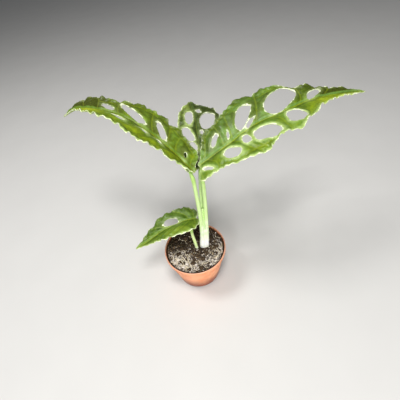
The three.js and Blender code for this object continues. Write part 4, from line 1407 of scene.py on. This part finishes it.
# %% Roots on the soil
ROOTS = [
    [(-12, -6, 47.6), (-10.6, -11, 48.2), (-10.2, -17, 47.9), (-8.6, -23, 47.9), (-7.2, -28, 47.2)],
    [(-17, -8, 47.6), (-14.5, -12, 48.3), (-13.2, -17, 47.6), (-12.4, -20, 47.4)],
    [(-24, -10, 47.4), (-20, -12, 48.4), (-17, -16, 47.9), (-16, -21, 47.2)],
    [(-20, -20, 47.2), (-16, -21, 48.2), (-12.5, -24, 47.8), (-11, -27, 47.1)],
    [(24, -10, 47.3), (25.5, -13, 48.4), (24, -17, 48.0), (20, -20, 47.5)],
    [(12, -22, 47.6), (9, -24.5, 48.6), (5.5, -23.5, 48.3), (6.5, -20.5, 47.6)],
]
root_tree, root_sizes = stalk_tree(root)
root_sizes.update({"Ring steps": 8, "Groove depth": 0.0})
for i, points in enumerate(ROOTS):
    u = np.linspace(0, 1, 25)
    radius = 0.42 * np.sqrt(np.clip(1 - (2 * u - 1) ** 4, 0.05, 1)) * (1 - 0.04 * i)
    line = line_along(Path(points), radius)
    grains.append(run_tree(f"root_{i + 1}", root_tree, line, root_sizes))

# %% [markdown]
# Now each piece is tied to the CAD model: the body it rides on and the node it stands for,
# which is hidden.

# %% Pieces and their nodes
def tie(piece, slot_name, *nodes):
    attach(piece, "root")
    if nodes:
        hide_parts(*nodes)


tie(pot, "pot", "pot")
tie(soil, "soil", "soil")
for piece in grains:
    tie(piece, "soil")
tie(crown, "crown", "crown")
tie(sheath, "stalk")
for name, piece in stalks.items():
    tie(piece, "stalk", name)
for name, piece in leaves.items():
    tie(piece, "leaf", name)

# %% [markdown]
# The stage is a plain pale floor, wide enough that its edge is never seen.

# %% Floor
FLOOR_HALF = 3000.0
board = Finish("painted board", "#d9d7d3", Roughness=0.7)
board.paint("#d3d1cd", board.noise(60, 2))
floor = solid("floor", [(sx * FLOOR_HALF, sy * FLOOR_HALF, 0)
                        for sx, sy in ((-1, -1), (1, -1), (1, 1), (-1, 1))], [(0, 1, 2, 3)])
floor.data.materials.append(board.done())

# %% [markdown]
# Light: two soft boxes above shine down on the leaves, a low one in front lights the stalks,
# the soil and the pot, and a weak one from the left front models the forms.

# %% Lights
LIGHTS = [  # name, place, aim, side and power, in metres and watts
    ("top front", (0.05, -0.3, 1.1), (0.02, 0.03, 0.16), 0.3, 6.2),
    ("top left", (-0.45, 0.15, 1.0), (0.02, 0.03, 0.16), 0.3, 5.0),
    ("low front", (0.05, -1.0, 0.34), (0, 0, 0.05), 0.35, 7.6),
    ("key", (-0.45, -0.85, 0.95), (0, 0.02, 0.1), 0.3, 2.5),
]
for name, place, aim, size, power in LIGHTS:
    light = bpy.data.lights.new(name, "AREA")
    light.shape, light.size, light.energy = "SQUARE", size, power
    box = placed(name, light)
    box.location = place
    box.rotation_euler = (Vector(aim) - Vector(place)).to_track_quat("-Z", "Y").to_euler()
world = bpy.data.worlds.new("studio")
world.use_nodes = True
background = world.node_tree.nodes["Background"].inputs
background["Color"].default_value = linear("#dfe3e8")
background["Strength"].default_value = 0.15
bpy.context.scene.world = world
bpy.context.scene.view_settings.view_transform = "Standard"
print("lights:", len(LIGHTS))

# %% [markdown]
# The camera stands in front and looks down at about 46 degrees, tilted a little, as in the
# photograph. Its place was worked out from the pot's rim, which the photograph shows as an
# ellipse, and from the pot's height.

# %% Camera
PITCH, ROLL, YAW = map(math.radians, (45.8, -9.0, 4.0))
CAMERA_PLACE = (0, -0.2028, 0.331)
forward = Vector((math.sin(YAW) * math.cos(PITCH), math.cos(YAW) * math.cos(PITCH),
                  -math.sin(PITCH)))
level = Vector((math.cos(YAW), -math.sin(YAW), 0))
upward = level.cross(forward)
right = math.cos(ROLL) * level + math.sin(ROLL) * upward
top = -math.sin(ROLL) * level + math.cos(ROLL) * upward
lens = bpy.data.cameras.new("camera")
lens.sensor_width, lens.lens = 36, 27
lens.clip_start, lens.clip_end = 0.01, 20
camera = placed("camera", lens)
turn = Matrix((right, top, -forward)).transposed().to_4x4()
camera.matrix_world = Matrix.Translation(CAMERA_PLACE) @ turn
bpy.context.scene.camera = camera
print("camera at", CAMERA_PLACE)
